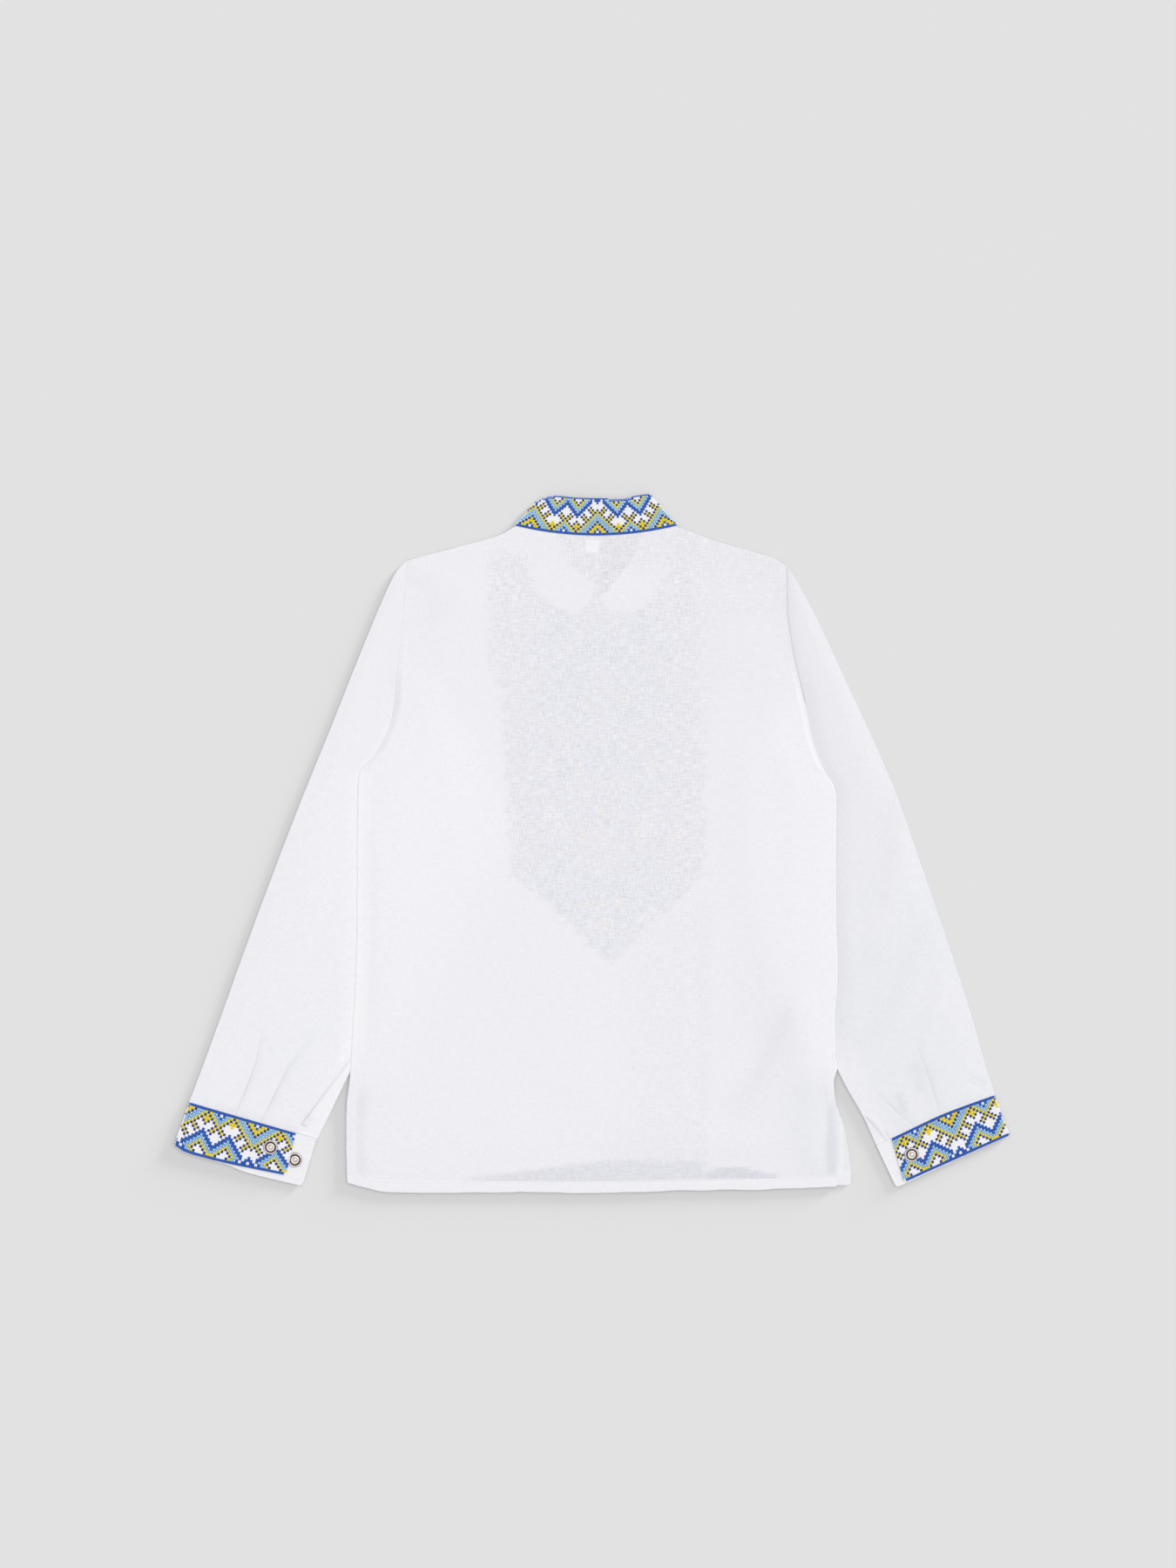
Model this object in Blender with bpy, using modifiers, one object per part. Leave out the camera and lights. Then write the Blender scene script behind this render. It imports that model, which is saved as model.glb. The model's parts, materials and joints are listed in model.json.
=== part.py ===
"""A child's vyshyvanka, a linen shirt with a stand collar, laid flat on a table with its back up.

World frame: metres, Z up, the table is the plane z = 0, X runs across the shirt and Y up to its collar.
Sizes below are in millimetres, and left and right are as seen from above. Every piece is a wall that
grows inwards from its outer surface: the side that faces the table, or the air above the shirt."""

import math
import bpy
import bmesh
from mathutils import Vector

MM = 0.001

# Cloth and layers
CLOTH = 1.0
HEM_CLOTH = 1.5
AIR = 0.4
SEAM_GAP = 0.5
ARMHOLE_GAP = 0.8
LAYER = CLOTH + AIR
FOLD_RADIUS = (CLOTH + LAYER) / 2
TOP_OF_PAIR = CLOTH + LAYER
FOLD_STEPS = 4

# Body: rows of (height y, edge x), from the hem up to the shoulder
LEFT_EDGE = [(-289, -208), (-257, -209), (-222, -208.5), (-198, -205.5), (-150, -203), (-91, -200),
             (-20, -199.5), (50, -198.5), (62, -196.5), (77, -183.5), (94, -174.6), (108, -169.8),
             (125, -167), (143, -166), (165, -163.5), (195, -161), (241, -157)]
RIGHT_EDGE = [(-292, 207), (-257, 205), (-222, 207), (-193, 209), (-146, 206.5), (-110, 209),
              (-48, 207.5), (39, 208), (51, 205), (64, 197), (86, 188.3), (108, 183.5),
              (130, 178.7), (151, 173.5), (175, 169), (199, 166), (236, 165.5)]
FRONT_RIGHT_EDGE = [(-288, 221), (-273, 220), (-241, 215), (-215, 209.5)] + RIGHT_EDGE[3:]

# Hems: rows of (x, height y)
BACK_HEM = [(-208, -289), (-176, -296), (-68, -296.7), (14, -297), (84, -295), (161, -294), (207, -292)]
FRONT_HEM = [(-208, -287), (-121, -285), (-60, -279), (11, -270), (70, -271), (97, -275), (130, -284),
             (190, -287), (221, -288)]
HEM_HEIGHT = 9.0
VENT_HEIGHT = 86.0
VENT_FACING = 7.0

# Shoulders: rows of (x, height y)
LEFT_SHOULDER = [(-157, 241), (-133, 247.5), (-108, 254), (-80, 262), (-65.5, 269.7)]
RIGHT_SHOULDER = [(72.5, 269.7), (102, 258.6), (134, 249), (156, 242.3), (165.5, 236)]

# Neck
NECK_MIDDLE = 3.5
NECK_HALF = 69.0
NECK_TOP = 269.7
BACK_NECK_DROP = 8.5
FRONT_NECK_DROP = 91.0
FRONT_NECK_POWER = 1.35
SLIT_LENGTH = 120.0
SLIT_WIDTH = 1.2

# Collar: rows of (x, height y) along the free edge of its back half
COLLAR_TOP = [(-46.5, 291), (-38, 294), (-29, 295), (-14, 293.5), (8, 292.7), (26, 292.7), (37, 295),
              (48.5, 296.3)]
COLLAR_FRONT_BEND = 28.0
COLLAR_FRONT_BEND_Y = 262.0
COLLAR_END_HALF = 3.5
COLLAR_SPLIT_HALF = 0.5
COLLAR_END_TOP_Y = 221.0
COLLAR_LIFT = 1.5

# Sleeves: rows of (share of the length, outer x, outer y, inner x, inner y)
LEFT_SLEEVE = [(0.00, -157.5, 240.5, -136, 62), (0.07, -167, 231, -134, 55), (0.14, -178, 209, -132, 47),
               (0.24, -199, 158, -127, 32), (0.36, -220, 104, -121, 10), (0.48, -241, 51, -124, -18),
               (0.60, -265, -11, -148, -56), (0.72, -289, -75, -174, -110), (0.84, -312, -139, -200, -180),
               (0.92, -328, -183, -217, -216), (1.00, -341.5, -218.7, -233.5, -250)]
RIGHT_SLEEVE = [(0.00, 166, 235.5, 148, 75), (0.07, 173, 226, 147.5, 66), (0.14, 184, 206, 147, 56),
                (0.20, 197, 180, 146.5, 46), (0.30, 218, 134, 146, 28), (0.40, 238, 90, 145.5, 6),
                (0.52, 258, 42, 149, -30), (0.64, 280, -20, 161, -80), (0.76, 303, -88, 184, -140),
                (0.88, 323, -150, 211, -203), (0.95, 333, -186, 227, -232), (1.00, 341.5, -212.8, 241, -255)]
LEFT_PLEATS = (0.38, 0.57)
RIGHT_PLEATS = (0.48, 0.70)
PLEAT_HEIGHT = 1.2
PLEAT_HALF_SHARE = 0.035
PLEAT_START_SHARE = 0.82
SLEEVE_PUFF = 1.5
SLEEVE_PUFF_CLEAR = 8.0
HEAD_TURN_Y = 122.0
HEAD_TURN_POWER = 1.6
HEAD_FADE_SHARE = 0.52
HEAD_SWELL = 2.6

# Cuffs: corners where the band folds, and where its over-lap and its under-lap end
LEFT_CUFF = {"fold_seam": (-341.5, -219.4), "over_seam": (-251.2, -245.6), "under_seam": (-233.7, -250.6),
             "fold_edge": (-354.8, -255.7), "over_edge": (-261.6, -281.6), "under_edge": (-246, -290.4)}
RIGHT_CUFF = {"fold_seam": (341.5, -213.5), "over_seam": (254.2, -250.1), "under_seam": (241.2, -255.6),
              "fold_edge": (354.8, -248.3), "over_edge": (267.1, -287.9), "under_edge": (258.6, -292.7)}
CUFF_CORNER = 3.0

# Where a sleeve lies under the body, the body rises over it
TUCK_RISE = 2 * LAYER
TUCK_MARGIN = 19.0
TUCK_RAMP = 42.0

# Back panel: air under it, and its largest folds as ridges of (x, y) to (x, y), half width, height
BACK_PUFF = 1.3
PUFF_RUN = 40.0
FOLDS = [(-153, 226, -112, 196, 13, 1.3), (162, 230, 108, 212, 13, 1.3),
         (178, -122, 124, -216, 15, 1.8), (104, -28, 104, -250, 16, 1.2)]

# Ring snaps and label
SNAP_RADIUS = 5.25
SNAP_HEIGHT = 1.4
SNAP_STEPS = 20
SNAP_GAP = 0.3
SNAPS = {"snap_left_over": (-273.1, -257.9, TOP_OF_PAIR), "snap_left_under": (-251.5, -269.0, CLOTH),
         "snap_right_over": (271.7, -264.2, TOP_OF_PAIR)}
LABEL_SIZE = 12.6
LABEL_THICKNESS = 0.6
LABEL_PLACE = (1.2, 252.5)

# Grids
BODY_COLUMN = 16.0
BODY_ROW = 21.0
NECK_STEPS = 8
SLEEVE_RINGS = 19
SLEEVE_TOP_COLUMNS = 10
SLEEVE_UNDER_COLUMNS = 7
BAND_ROWS = 3

COLOURS = {"linen": (0.86, 0.86, 0.89), "band": (0.16, 0.30, 0.66), "steel": (0.62, 0.60, 0.57),
           "label": (0.93, 0.93, 0.94)}


def mix(a, b, share):
    return a + (b - a) * share


def between(a, b, share):
    """Point at a share of the way from a to b."""
    return (mix(a[0], b[0], share), mix(a[1], b[1], share))


def ease(share):
    """Soft step from 0 to 1."""
    share = min(max(share, 0.0), 1.0)
    return share * share * (3.0 - 2.0 * share)


def read(rows, key, column=1):
    """Value of a column at a key, on a smooth curve through the rows, which ascend by their first column."""
    last = len(rows) - 2
    i = min(max(sum(row[0] <= key for row in rows) - 1, 0), last)
    a, b = rows[i], rows[i + 1]
    before, after = rows[max(i - 1, 0)], rows[min(i + 2, last + 1)]
    run = b[0] - a[0]
    slope_a = (b[column] - before[column]) / (b[0] - before[0])
    slope_b = (after[column] - a[column]) / (after[0] - a[0])
    t = (key - a[0]) / run
    return (a[column] * (1 + 2 * t) * (1 - t) ** 2 + b[column] * (3 - 2 * t) * t * t
            + run * (slope_a * t * (1 - t) ** 2 - slope_b * t * t * (1 - t)))


def steps(start, end, size):
    """Even steps from start to end, none longer than size."""
    count = max(1, math.ceil(abs(end - start) / size - 1e-6))
    return [mix(start, end, i / count) for i in range(count + 1)]


# Sleeves in plan

def head_point(sleeve, share):
    """Point of the sleeve's head: down along the body's edge, then in under the body."""
    top_y, inner_x, low_y = sleeve["rows"][0][2:5]
    y = mix(top_y, low_y, share)
    beside = read(sleeve["edge"], max(y, HEAD_TURN_Y)) + sleeve["side"] * ARMHOLE_GAP
    turned = max(HEAD_TURN_Y - y, 0.0) / (HEAD_TURN_Y - low_y)
    return (mix(beside, inner_x, turned ** HEAD_TURN_POWER), y)


def sleeve_point(sleeve, s, w):
    """Plan point at a share s down the sleeve and a share w from its outer to its inner fold."""
    rows = sleeve["rows"]
    outer = (read(rows, s, 1), read(rows, s, 2))
    inner = (read(rows, s, 3), read(rows, s, 4))
    x, y = between(outer, inner, w)
    head = head_point(sleeve, w)
    chord = between(rows[0][1:3], rows[0][3:5], w)
    gone = min(s / HEAD_FADE_SHARE, 1.0)
    fade = (1.0 - gone) * (1.0 + HEAD_SWELL * gone)
    return (x + (head[0] - chord[0]) * fade, y + (head[1] - chord[1]) * fade)


SLEEVES = {
    "sleeve_left": {"rows": LEFT_SLEEVE, "edge": LEFT_EDGE, "side": -1, "pleats": LEFT_PLEATS},
    "sleeve_right": {"rows": RIGHT_SLEEVE, "edge": RIGHT_EDGE, "side": 1, "pleats": RIGHT_PLEATS},
}


def tucked_points():
    """Plan points of both sleeves that lie under the body."""
    points = []
    for sleeve in SLEEVES.values():
        for i in range(81):
            for j in range(25):
                x, y = sleeve_point(sleeve, i / 80, j / 24)
                if y < 240 and read(LEFT_EDGE, y) + SEAM_GAP < x < read(RIGHT_EDGE, y) - SEAM_GAP:
                    points.append((x, y))
    return points


TUCKED = tucked_points()


def rise(x, y):
    """Height of the body's underside over the table."""
    near = min(math.hypot(x - px, y - py) for px, py in TUCKED)
    return TUCK_RISE * ease(1.0 - (near - TUCK_MARGIN) / TUCK_RAMP)


# Body panels in plan

def front_neck_y(x):
    reach = min(abs(x - NECK_MIDDLE) / NECK_HALF, 1.0)
    return NECK_TOP - FRONT_NECK_DROP * (1.0 - reach ** FRONT_NECK_POWER)


def back_neck_y(x):
    reach = min(abs(x - NECK_MIDDLE) / NECK_HALF, 1.0)
    return NECK_TOP - BACK_NECK_DROP * (1.0 - reach ** 2)


def top_y(x, neck_y):
    """Upper edge of a panel: shoulder, neck and shoulder."""
    if x < NECK_MIDDLE - NECK_HALF:
        return read(LEFT_SHOULDER, x)
    if x > NECK_MIDDLE + NECK_HALF:
        return read(RIGHT_SHOULDER, x)
    return neck_y(x) - SEAM_GAP


def body_columns():
    """Shares across a panel, with lines at the vent facings, the neck's corners and its middle."""
    left, right = LEFT_EDGE[-1][1], RIGHT_EDGE[-1][1]
    neck_left, neck_right = NECK_MIDDLE - NECK_HALF, NECK_MIDDLE + NECK_HALF
    facing = VENT_FACING * (right - left) / (RIGHT_EDGE[0][1] - LEFT_EDGE[0][1])
    places = steps(left + facing, neck_left, BODY_COLUMN)
    places += [mix(neck_left, neck_right, i / (2 * NECK_STEPS)) for i in range(1, 2 * NECK_STEPS + 1)]
    places += steps(neck_right, right - facing, BODY_COLUMN)[1:]
    places = [left, left + facing * 0.85] + places + [right - facing * 0.85, right]
    return [(x - left) / (right - left) for x in places]


def body_rows():
    """Shares up a panel, with lines at the hem fold and at the top of the side vents."""
    height = LEFT_EDGE[-1][0] - LEFT_EDGE[0][0]
    marks = [0.0, HEM_HEIGHT - 1.0, HEM_HEIGHT, VENT_HEIGHT, VENT_HEIGHT + 2.0, height]
    rows = [marks[0], marks[1]]
    for low, high in zip(marks[1:], marks[2:]):
        rows += steps(low, high, BODY_ROW)[1:]
    return [row / height for row in rows]


def panel_plan(right_edge, hem, neck_y, u, v):
    """Plan point at a share u across and a share v up a panel."""
    top_left, top_right = LEFT_EDGE[-1][1], right_edge[-1][1]
    top_x = mix(top_left, top_right, u)
    hem_x = mix(hem[0][0], hem[-1][0], u)
    left_x = read(LEFT_EDGE, mix(LEFT_EDGE[0][0], LEFT_EDGE[-1][0], v))
    right_x = read(right_edge, mix(right_edge[0][0], right_edge[-1][0], v))
    return (mix(left_x, right_x, u), mix(read(hem, hem_x), top_y(top_x, neck_y), v))


def ridge(x, y, fold):
    """Height that one fold adds at a plan point: full in its middle, nothing at its ends and sides."""
    x0, y0, x1, y1, half_width, height = fold
    length = math.hypot(x1 - x0, y1 - y0)
    along = ((x - x0) * (x1 - x0) + (y - y0) * (y1 - y0)) / length
    across = abs((x - x0) * (y1 - y0) - (y - y0) * (x1 - x0)) / length
    if across > half_width or not 0 < along < length:
        return 0.0
    return height * math.cos(math.pi / 2 * across / half_width) ** 2 * math.sin(math.pi * along / length)


def back_air(x, y):
    """Air between the two panels, none at the seams, the most in the middle and under the folds."""
    from_left = x - read(LEFT_EDGE, min(max(y, LEFT_EDGE[0][0]), LEFT_EDGE[-1][0]))
    from_right = read(RIGHT_EDGE, min(max(y, RIGHT_EDGE[0][0]), RIGHT_EDGE[-1][0])) - x
    from_hem = y - BACK_HEM[0][1]
    from_top = min(LEFT_SHOULDER[0][1], RIGHT_SHOULDER[-1][1]) - y
    inside = min(from_left, from_right, from_hem, from_top)
    over_facings = (HEM_CLOTH - CLOTH) * ease((LEFT_EDGE[0][0] + VENT_HEIGHT + PUFF_RUN - y) / PUFF_RUN)
    return BACK_PUFF * ease(inside / PUFF_RUN) + over_facings + sum(ridge(x, y, fold) for fold in FOLDS)


# Making meshes

def collection(name):
    made = bpy.data.collections.new(name)
    bpy.context.scene.collection.children.link(made)
    return made


def material(slot, roughness, metallic):
    made = bpy.data.materials.new(slot)
    made.use_nodes = True
    shader = made.node_tree.nodes["Principled BSDF"]
    shader.inputs["Base Color"].default_value = (*COLOURS[slot], 1.0)
    shader.inputs["Roughness"].default_value = roughness
    shader.inputs["Metallic"].default_value = metallic
    return made


def add_object(name, mesh, group, finish):
    made = bpy.data.objects.new(name, mesh)
    group.objects.link(made)
    if finish is not None:
        mesh.materials.append(finish)
    return made


def surface(name, grid, closed):
    """Mesh through a grid of points in millimetres, rings in rows; the faces look to the right-hand
    side of a ring's direction as the rows go on."""
    rings, count = len(grid), len(grid[0])
    vertices = [Vector(point) * MM for ring in grid for point in ring]
    faces = []
    for i in range(rings - 1):
        for j in range(count if closed else count - 1):
            k = (j + 1) % count
            faces.append((i * count + j, (i + 1) * count + j, (i + 1) * count + k, i * count + k))
    mesh = bpy.data.meshes.new(name)
    mesh.from_pydata(vertices, [], faces)
    mesh.update()
    return mesh


def add_wall(made, thickest=CLOTH):
    """Wall that grows inwards from the outer surface."""
    wall = made.modifiers.new("wall", "SOLIDIFY")
    wall.thickness = thickest * MM
    wall.offset = -1.0
    wall.use_even_offset = True
    return wall


def add_panel(name, right_edge, hem, neck_y, height_at, group, finish):
    """Body panel: its underside at height_at, thicker at the hem and along the side vents."""
    us, vs = body_columns(), body_rows()
    full_height = LEFT_EDGE[-1][0] - LEFT_EDGE[0][0]
    grid, doubled = [], []
    for i, v in enumerate(vs):
        row = []
        for j, u in enumerate(us):
            x, y = panel_plan(right_edge, hem, neck_y, u, v)
            row.append((x, y, height_at(x, y)))
            in_hem = v * full_height < HEM_HEIGHT - 0.5
            in_facing = v * full_height < VENT_HEIGHT + 1.0 and not 1 < j < len(us) - 2
            if in_hem or in_facing:
                doubled.append(i * len(us) + j)
        grid.append(row)
    made = add_object(name, surface(name, grid, closed=False), group, finish)
    turned_in = made.vertex_groups.new(name="turned_in")
    turned_in.add(doubled, 1.0, "REPLACE")
    wall = add_wall(made, HEM_CLOTH)
    wall.vertex_group = turned_in.name
    wall.thickness_vertex_group = CLOTH / HEM_CLOTH
    return made


def back_height(x, y):
    return rise(x, y) + LAYER + back_air(x, y)


def add_slit(panel, cutters):
    """Front slit under the neck, so that the head goes through."""
    mesh = bpy.data.meshes.new("front_slit")
    shape = bmesh.new()
    bmesh.ops.create_cube(shape, size=1.0)
    bmesh.ops.scale(shape, vec=Vector((SLIT_WIDTH, SLIT_LENGTH, 6 * CLOTH)) * MM, verts=shape.verts)
    shape.to_mesh(mesh)
    shape.free()
    cutter = add_object("front_slit", mesh, cutters, None)
    neck_low = NECK_TOP - FRONT_NECK_DROP
    cutter.location = Vector((NECK_MIDDLE, neck_low - SLIT_LENGTH / 2 + 2.0, 0.0)) * MM
    cutter.hide_render = True
    cutter.display_type = "WIRE"
    cut = panel.modifiers.new("front_slit", "BOOLEAN")
    cut.object = cutter
    cut.operation = "DIFFERENCE"
    cut.solver = "EXACT"


def pleat_height(pleats, s, w):
    """Height that the pleats add on a sleeve's upper layer, growing towards the cuff."""
    grown = ease((s - PLEAT_START_SHARE) / (1.0 - PLEAT_START_SHARE))
    return sum(PLEAT_HEIGHT * grown * ease(1.0 - abs(w - pleat) / PLEAT_HALF_SHARE) for pleat in pleats)


def upper_height(sleeve, s, w):
    """Top of a sleeve's upper layer; it stays flat where the body lies on it."""
    x, y = sleeve_point(sleeve, s, w)
    outside = sleeve["side"] * (x - read(sleeve["edge"], y)) - SLEEVE_PUFF_CLEAR
    puff = SLEEVE_PUFF * math.sin(math.pi * w) * math.sin(math.pi * s) * ease(outside / PUFF_RUN)
    return TOP_OF_PAIR + puff + pleat_height(sleeve["pleats"], s, w)


def sleeve_ring(sleeve, s, upper_shares, under_shares):
    """Outer surface of the flattened tube, from its outer fold over the top and back under it."""
    upper = [(*sleeve_point(sleeve, s, w), upper_height(sleeve, s, w)) for w in upper_shares]
    under = [(*sleeve_point(sleeve, s, w), 0.0) for w in under_shares]
    return upper + fold_points(under[1], under[0], True) + under + fold_points(under[-2], under[-1], False)


def fold_points(inside, place, downwards):
    """Points round a fold at a place, bulging away from a point inside, without the points where it
    starts and ends."""
    reach = Vector((place[0] - inside[0], place[1] - inside[1])).normalized() * FOLD_RADIUS
    points = []
    for i in range(1, FOLD_STEPS):
        turn = math.pi * i / FOLD_STEPS
        height = FOLD_RADIUS * (1.0 + math.cos(turn) * (1.0 if downwards else -1.0))
        bulge = math.sin(turn)
        points.append((place[0] + reach[0] * bulge, place[1] + reach[1] * bulge, height))
    return points


def add_sleeve(name, sleeve, group, finish):
    pleat_lines = [pleat + shift for pleat in sleeve["pleats"]
                   for shift in (-PLEAT_HALF_SHARE, 0.0, PLEAT_HALF_SHARE)]
    even = [i / SLEEVE_TOP_COLUMNS for i in range(SLEEVE_TOP_COLUMNS + 1)]
    clear = [w for w in even if all(abs(w - line) > PLEAT_HALF_SHARE / 2 for line in pleat_lines)]
    upper_shares = sorted(clear + pleat_lines)
    under_shares = [1.0 - i / SLEEVE_UNDER_COLUMNS for i in range(SLEEVE_UNDER_COLUMNS + 1)]
    rings = [sleeve_ring(sleeve, i / SLEEVE_RINGS, upper_shares, under_shares)
             for i in range(SLEEVE_RINGS + 1)]
    if sleeve["side"] > 0:
        rings = [ring[::-1] for ring in rings]
    made = add_object(name, surface(name, rings, closed=True), group, finish)
    add_wall(made)
    return made


def section(low, high, low_z, high_z):
    """Points across a band, from its sewn edge to its free edge."""
    return [(*between(low, high, k / BAND_ROWS), mix(low_z, high_z, k / BAND_ROWS))
            for k in range(BAND_ROWS + 1)]


def turned_sections(low, high, outwards, upwards):
    """Sections round the fold of a band whose fold line runs from low to high."""
    sections = []
    for i in range(1, FOLD_STEPS):
        turn = math.pi * i / FOLD_STEPS
        height = FOLD_RADIUS * (1.0 - math.cos(turn) * (1.0 if upwards else -1.0))
        bulge = [outwards[k] * FOLD_RADIUS * math.sin(turn) for k in (0, 1)]
        moved = [(point[0] + bulge[0], point[1] + bulge[1]) for point in (low, high)]
        sections.append(section(moved[0], moved[1], height, height))
    return sections


def square_to(low, high, side):
    """Unit vector square to the line from low to high, pointing to the given side in x."""
    across = Vector((high[1] - low[1], low[0] - high[0])).normalized()
    return across if across[0] * side > 0 else -across


def collar_front(side, share):
    """Sewn and free point of a front half, from the side fold (0) to the middle (1)."""
    neck_x = NECK_MIDDLE + side * max(NECK_HALF * (1.0 - share), COLLAR_SPLIT_HALF)
    fold = COLLAR_TOP[0] if side < 0 else COLLAR_TOP[-1]
    bend = (NECK_MIDDLE + side * COLLAR_FRONT_BEND, COLLAR_FRONT_BEND_Y)
    end = (NECK_MIDDLE + side * COLLAR_END_HALF, COLLAR_END_TOP_Y)
    free = between(between(fold, bend, share), between(bend, end, share), share)
    return (neck_x, front_neck_y(neck_x)), free


def add_collar(name, group, finish):
    """Stand collar: its back half on top, folded at both sides, its front halves under the back panel."""
    front_shares = [1.0 - i / NECK_STEPS for i in range(NECK_STEPS + 1)]
    back_shares = steps(0.0, 1.0, 0.07)
    sections = [section(*collar_front(-1, share), 0.0, 0.0) for share in front_shares]
    for side, upwards in ((-1, True), (1, False)):
        fold_low, fold_high = collar_front(side, 0.0)
        turned = turned_sections(fold_low, fold_high, square_to(fold_low, fold_high, side), upwards)
        if upwards:
            sections += turned
            for share in back_shares:
                x = mix(NECK_MIDDLE - NECK_HALF, NECK_MIDDLE + NECK_HALF, share)
                top_x = mix(COLLAR_TOP[0][0], COLLAR_TOP[-1][0], share)
                lift = COLLAR_LIFT * math.sin(math.pi * share)
                sections.append(section((x, back_neck_y(x)), (top_x, read(COLLAR_TOP, top_x)),
                                        TOP_OF_PAIR, TOP_OF_PAIR + lift))
        else:
            sections += turned
    sections += [section(*collar_front(1, share), 0.0, 0.0) for share in front_shares[::-1]]
    made = add_object(name, surface(name, sections, closed=False), group, finish)
    add_wall(made)
    return made


def lap_sections(seam_ends, edge_ends, height, shares):
    """Sections along one layer of a cuff; the last ones round off its free corners."""
    sections = []
    for share in shares:
        low, high = between(*seam_ends, share), between(*edge_ends, share)
        left = (1.0 - share) * math.dist(*edge_ends)
        inset = CUFF_CORNER - math.sqrt(max(CUFF_CORNER ** 2 - max(CUFF_CORNER - left, 0.0) ** 2, 0.0))
        part = inset / math.dist(low, high)
        sections.append(section(low, between(low, high, 1.0 - part), height, height))
    return sections


def add_cuff(name, cuff, side, group, finish):
    """Cuff band: over-lap on top, folded at its outer side, under-lap below and longer."""
    over_seam, over_edge = (cuff["fold_seam"], cuff["over_seam"]), (cuff["fold_edge"], cuff["over_edge"])
    under_seam, under_edge = (cuff["fold_seam"], cuff["under_seam"]), (cuff["fold_edge"], cuff["under_edge"])
    corner = CUFF_CORNER / math.dist(*over_edge)
    shares = steps(0.0, 1.0 - corner, 0.12) + [1.0 - corner / 3, 1.0]
    sections = lap_sections(over_seam, over_edge, TOP_OF_PAIR, shares)[::-1]
    outwards = square_to(cuff["fold_seam"], cuff["fold_edge"], side)
    sections += turned_sections(cuff["fold_seam"], cuff["fold_edge"], outwards, False)
    sections += lap_sections(under_seam, under_edge, 0.0, shares)
    if side > 0:
        sections = [points[::-1] for points in sections]
    made = add_object(name, surface(name, sections, closed=False), group, finish)
    add_wall(made)
    return made


def add_snap(name, place, group, finish):
    """Ring snap: a rolled rim round a sunk ring with a low dome in its middle."""
    x, y, seat = place
    radius, height = SNAP_RADIUS, SNAP_HEIGHT
    profile = [(0.0, 0.72), (0.20, 0.66), (0.42, 0.34), (0.58, 0.34), (0.70, 0.82), (0.84, 1.0), (0.96, 0.76),
               (1.0, 0.38), (0.90, 0.0), (0.0, 0.0)]
    mesh = bpy.data.meshes.new(name)
    vertices = [(share * radius * MM, 0.0, level * height * MM) for share, level in profile]
    mesh.from_pydata(vertices, [(i, i + 1) for i in range(len(profile) - 1)], [])
    made = add_object(name, mesh, group, finish)
    turn = made.modifiers.new("turn", "SCREW")
    turn.steps = SNAP_STEPS
    turn.render_steps = SNAP_STEPS
    turn.use_merge_vertices = True
    turn.merge_threshold = 0.00001
    made.location = Vector((x, y, seat + SNAP_GAP)) * MM
    return made


def add_label(name, group, finish):
    """Bare neck label, hung inside the back of the neck."""
    mesh = bpy.data.meshes.new(name)
    shape = bmesh.new()
    bmesh.ops.create_cube(shape, size=1.0)
    bmesh.ops.scale(shape, vec=Vector((LABEL_SIZE, LABEL_SIZE, LABEL_THICKNESS)) * MM, verts=shape.verts)
    shape.to_mesh(mesh)
    shape.free()
    made = add_object(name, mesh, group, finish)
    made.location = Vector((*LABEL_PLACE, LAYER - SNAP_GAP - LABEL_THICKNESS / 2)) * MM
    return made


def main():
    for old in list(bpy.data.objects):
        bpy.data.objects.remove(old, do_unlink=True)
    shirt = collection("vyshyvanka_shirt")
    cutters = collection("cutters")
    linen = material("linen", 0.85, 0.0)
    band = material("band", 0.8, 0.0)
    steel = material("steel", 0.3, 1.0)
    label = material("label", 0.6, 0.0)
    front = add_panel("front_panel", FRONT_RIGHT_EDGE, FRONT_HEM, front_neck_y, rise, shirt, linen)
    add_slit(front, cutters)
    add_panel("back_panel", RIGHT_EDGE, BACK_HEM, back_neck_y, back_height, shirt, linen)
    for name, sleeve in SLEEVES.items():
        add_sleeve(name, sleeve, shirt, linen)
    add_collar("collar", shirt, band)
    add_cuff("cuff_left", LEFT_CUFF, -1, shirt, band)
    add_cuff("cuff_right", RIGHT_CUFF, 1, shirt, band)
    for name, place in SNAPS.items():
        add_snap(name, place, shirt, steel)
    add_label("neck_label", shirt, label)


main()
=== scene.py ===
import json
import math

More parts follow.
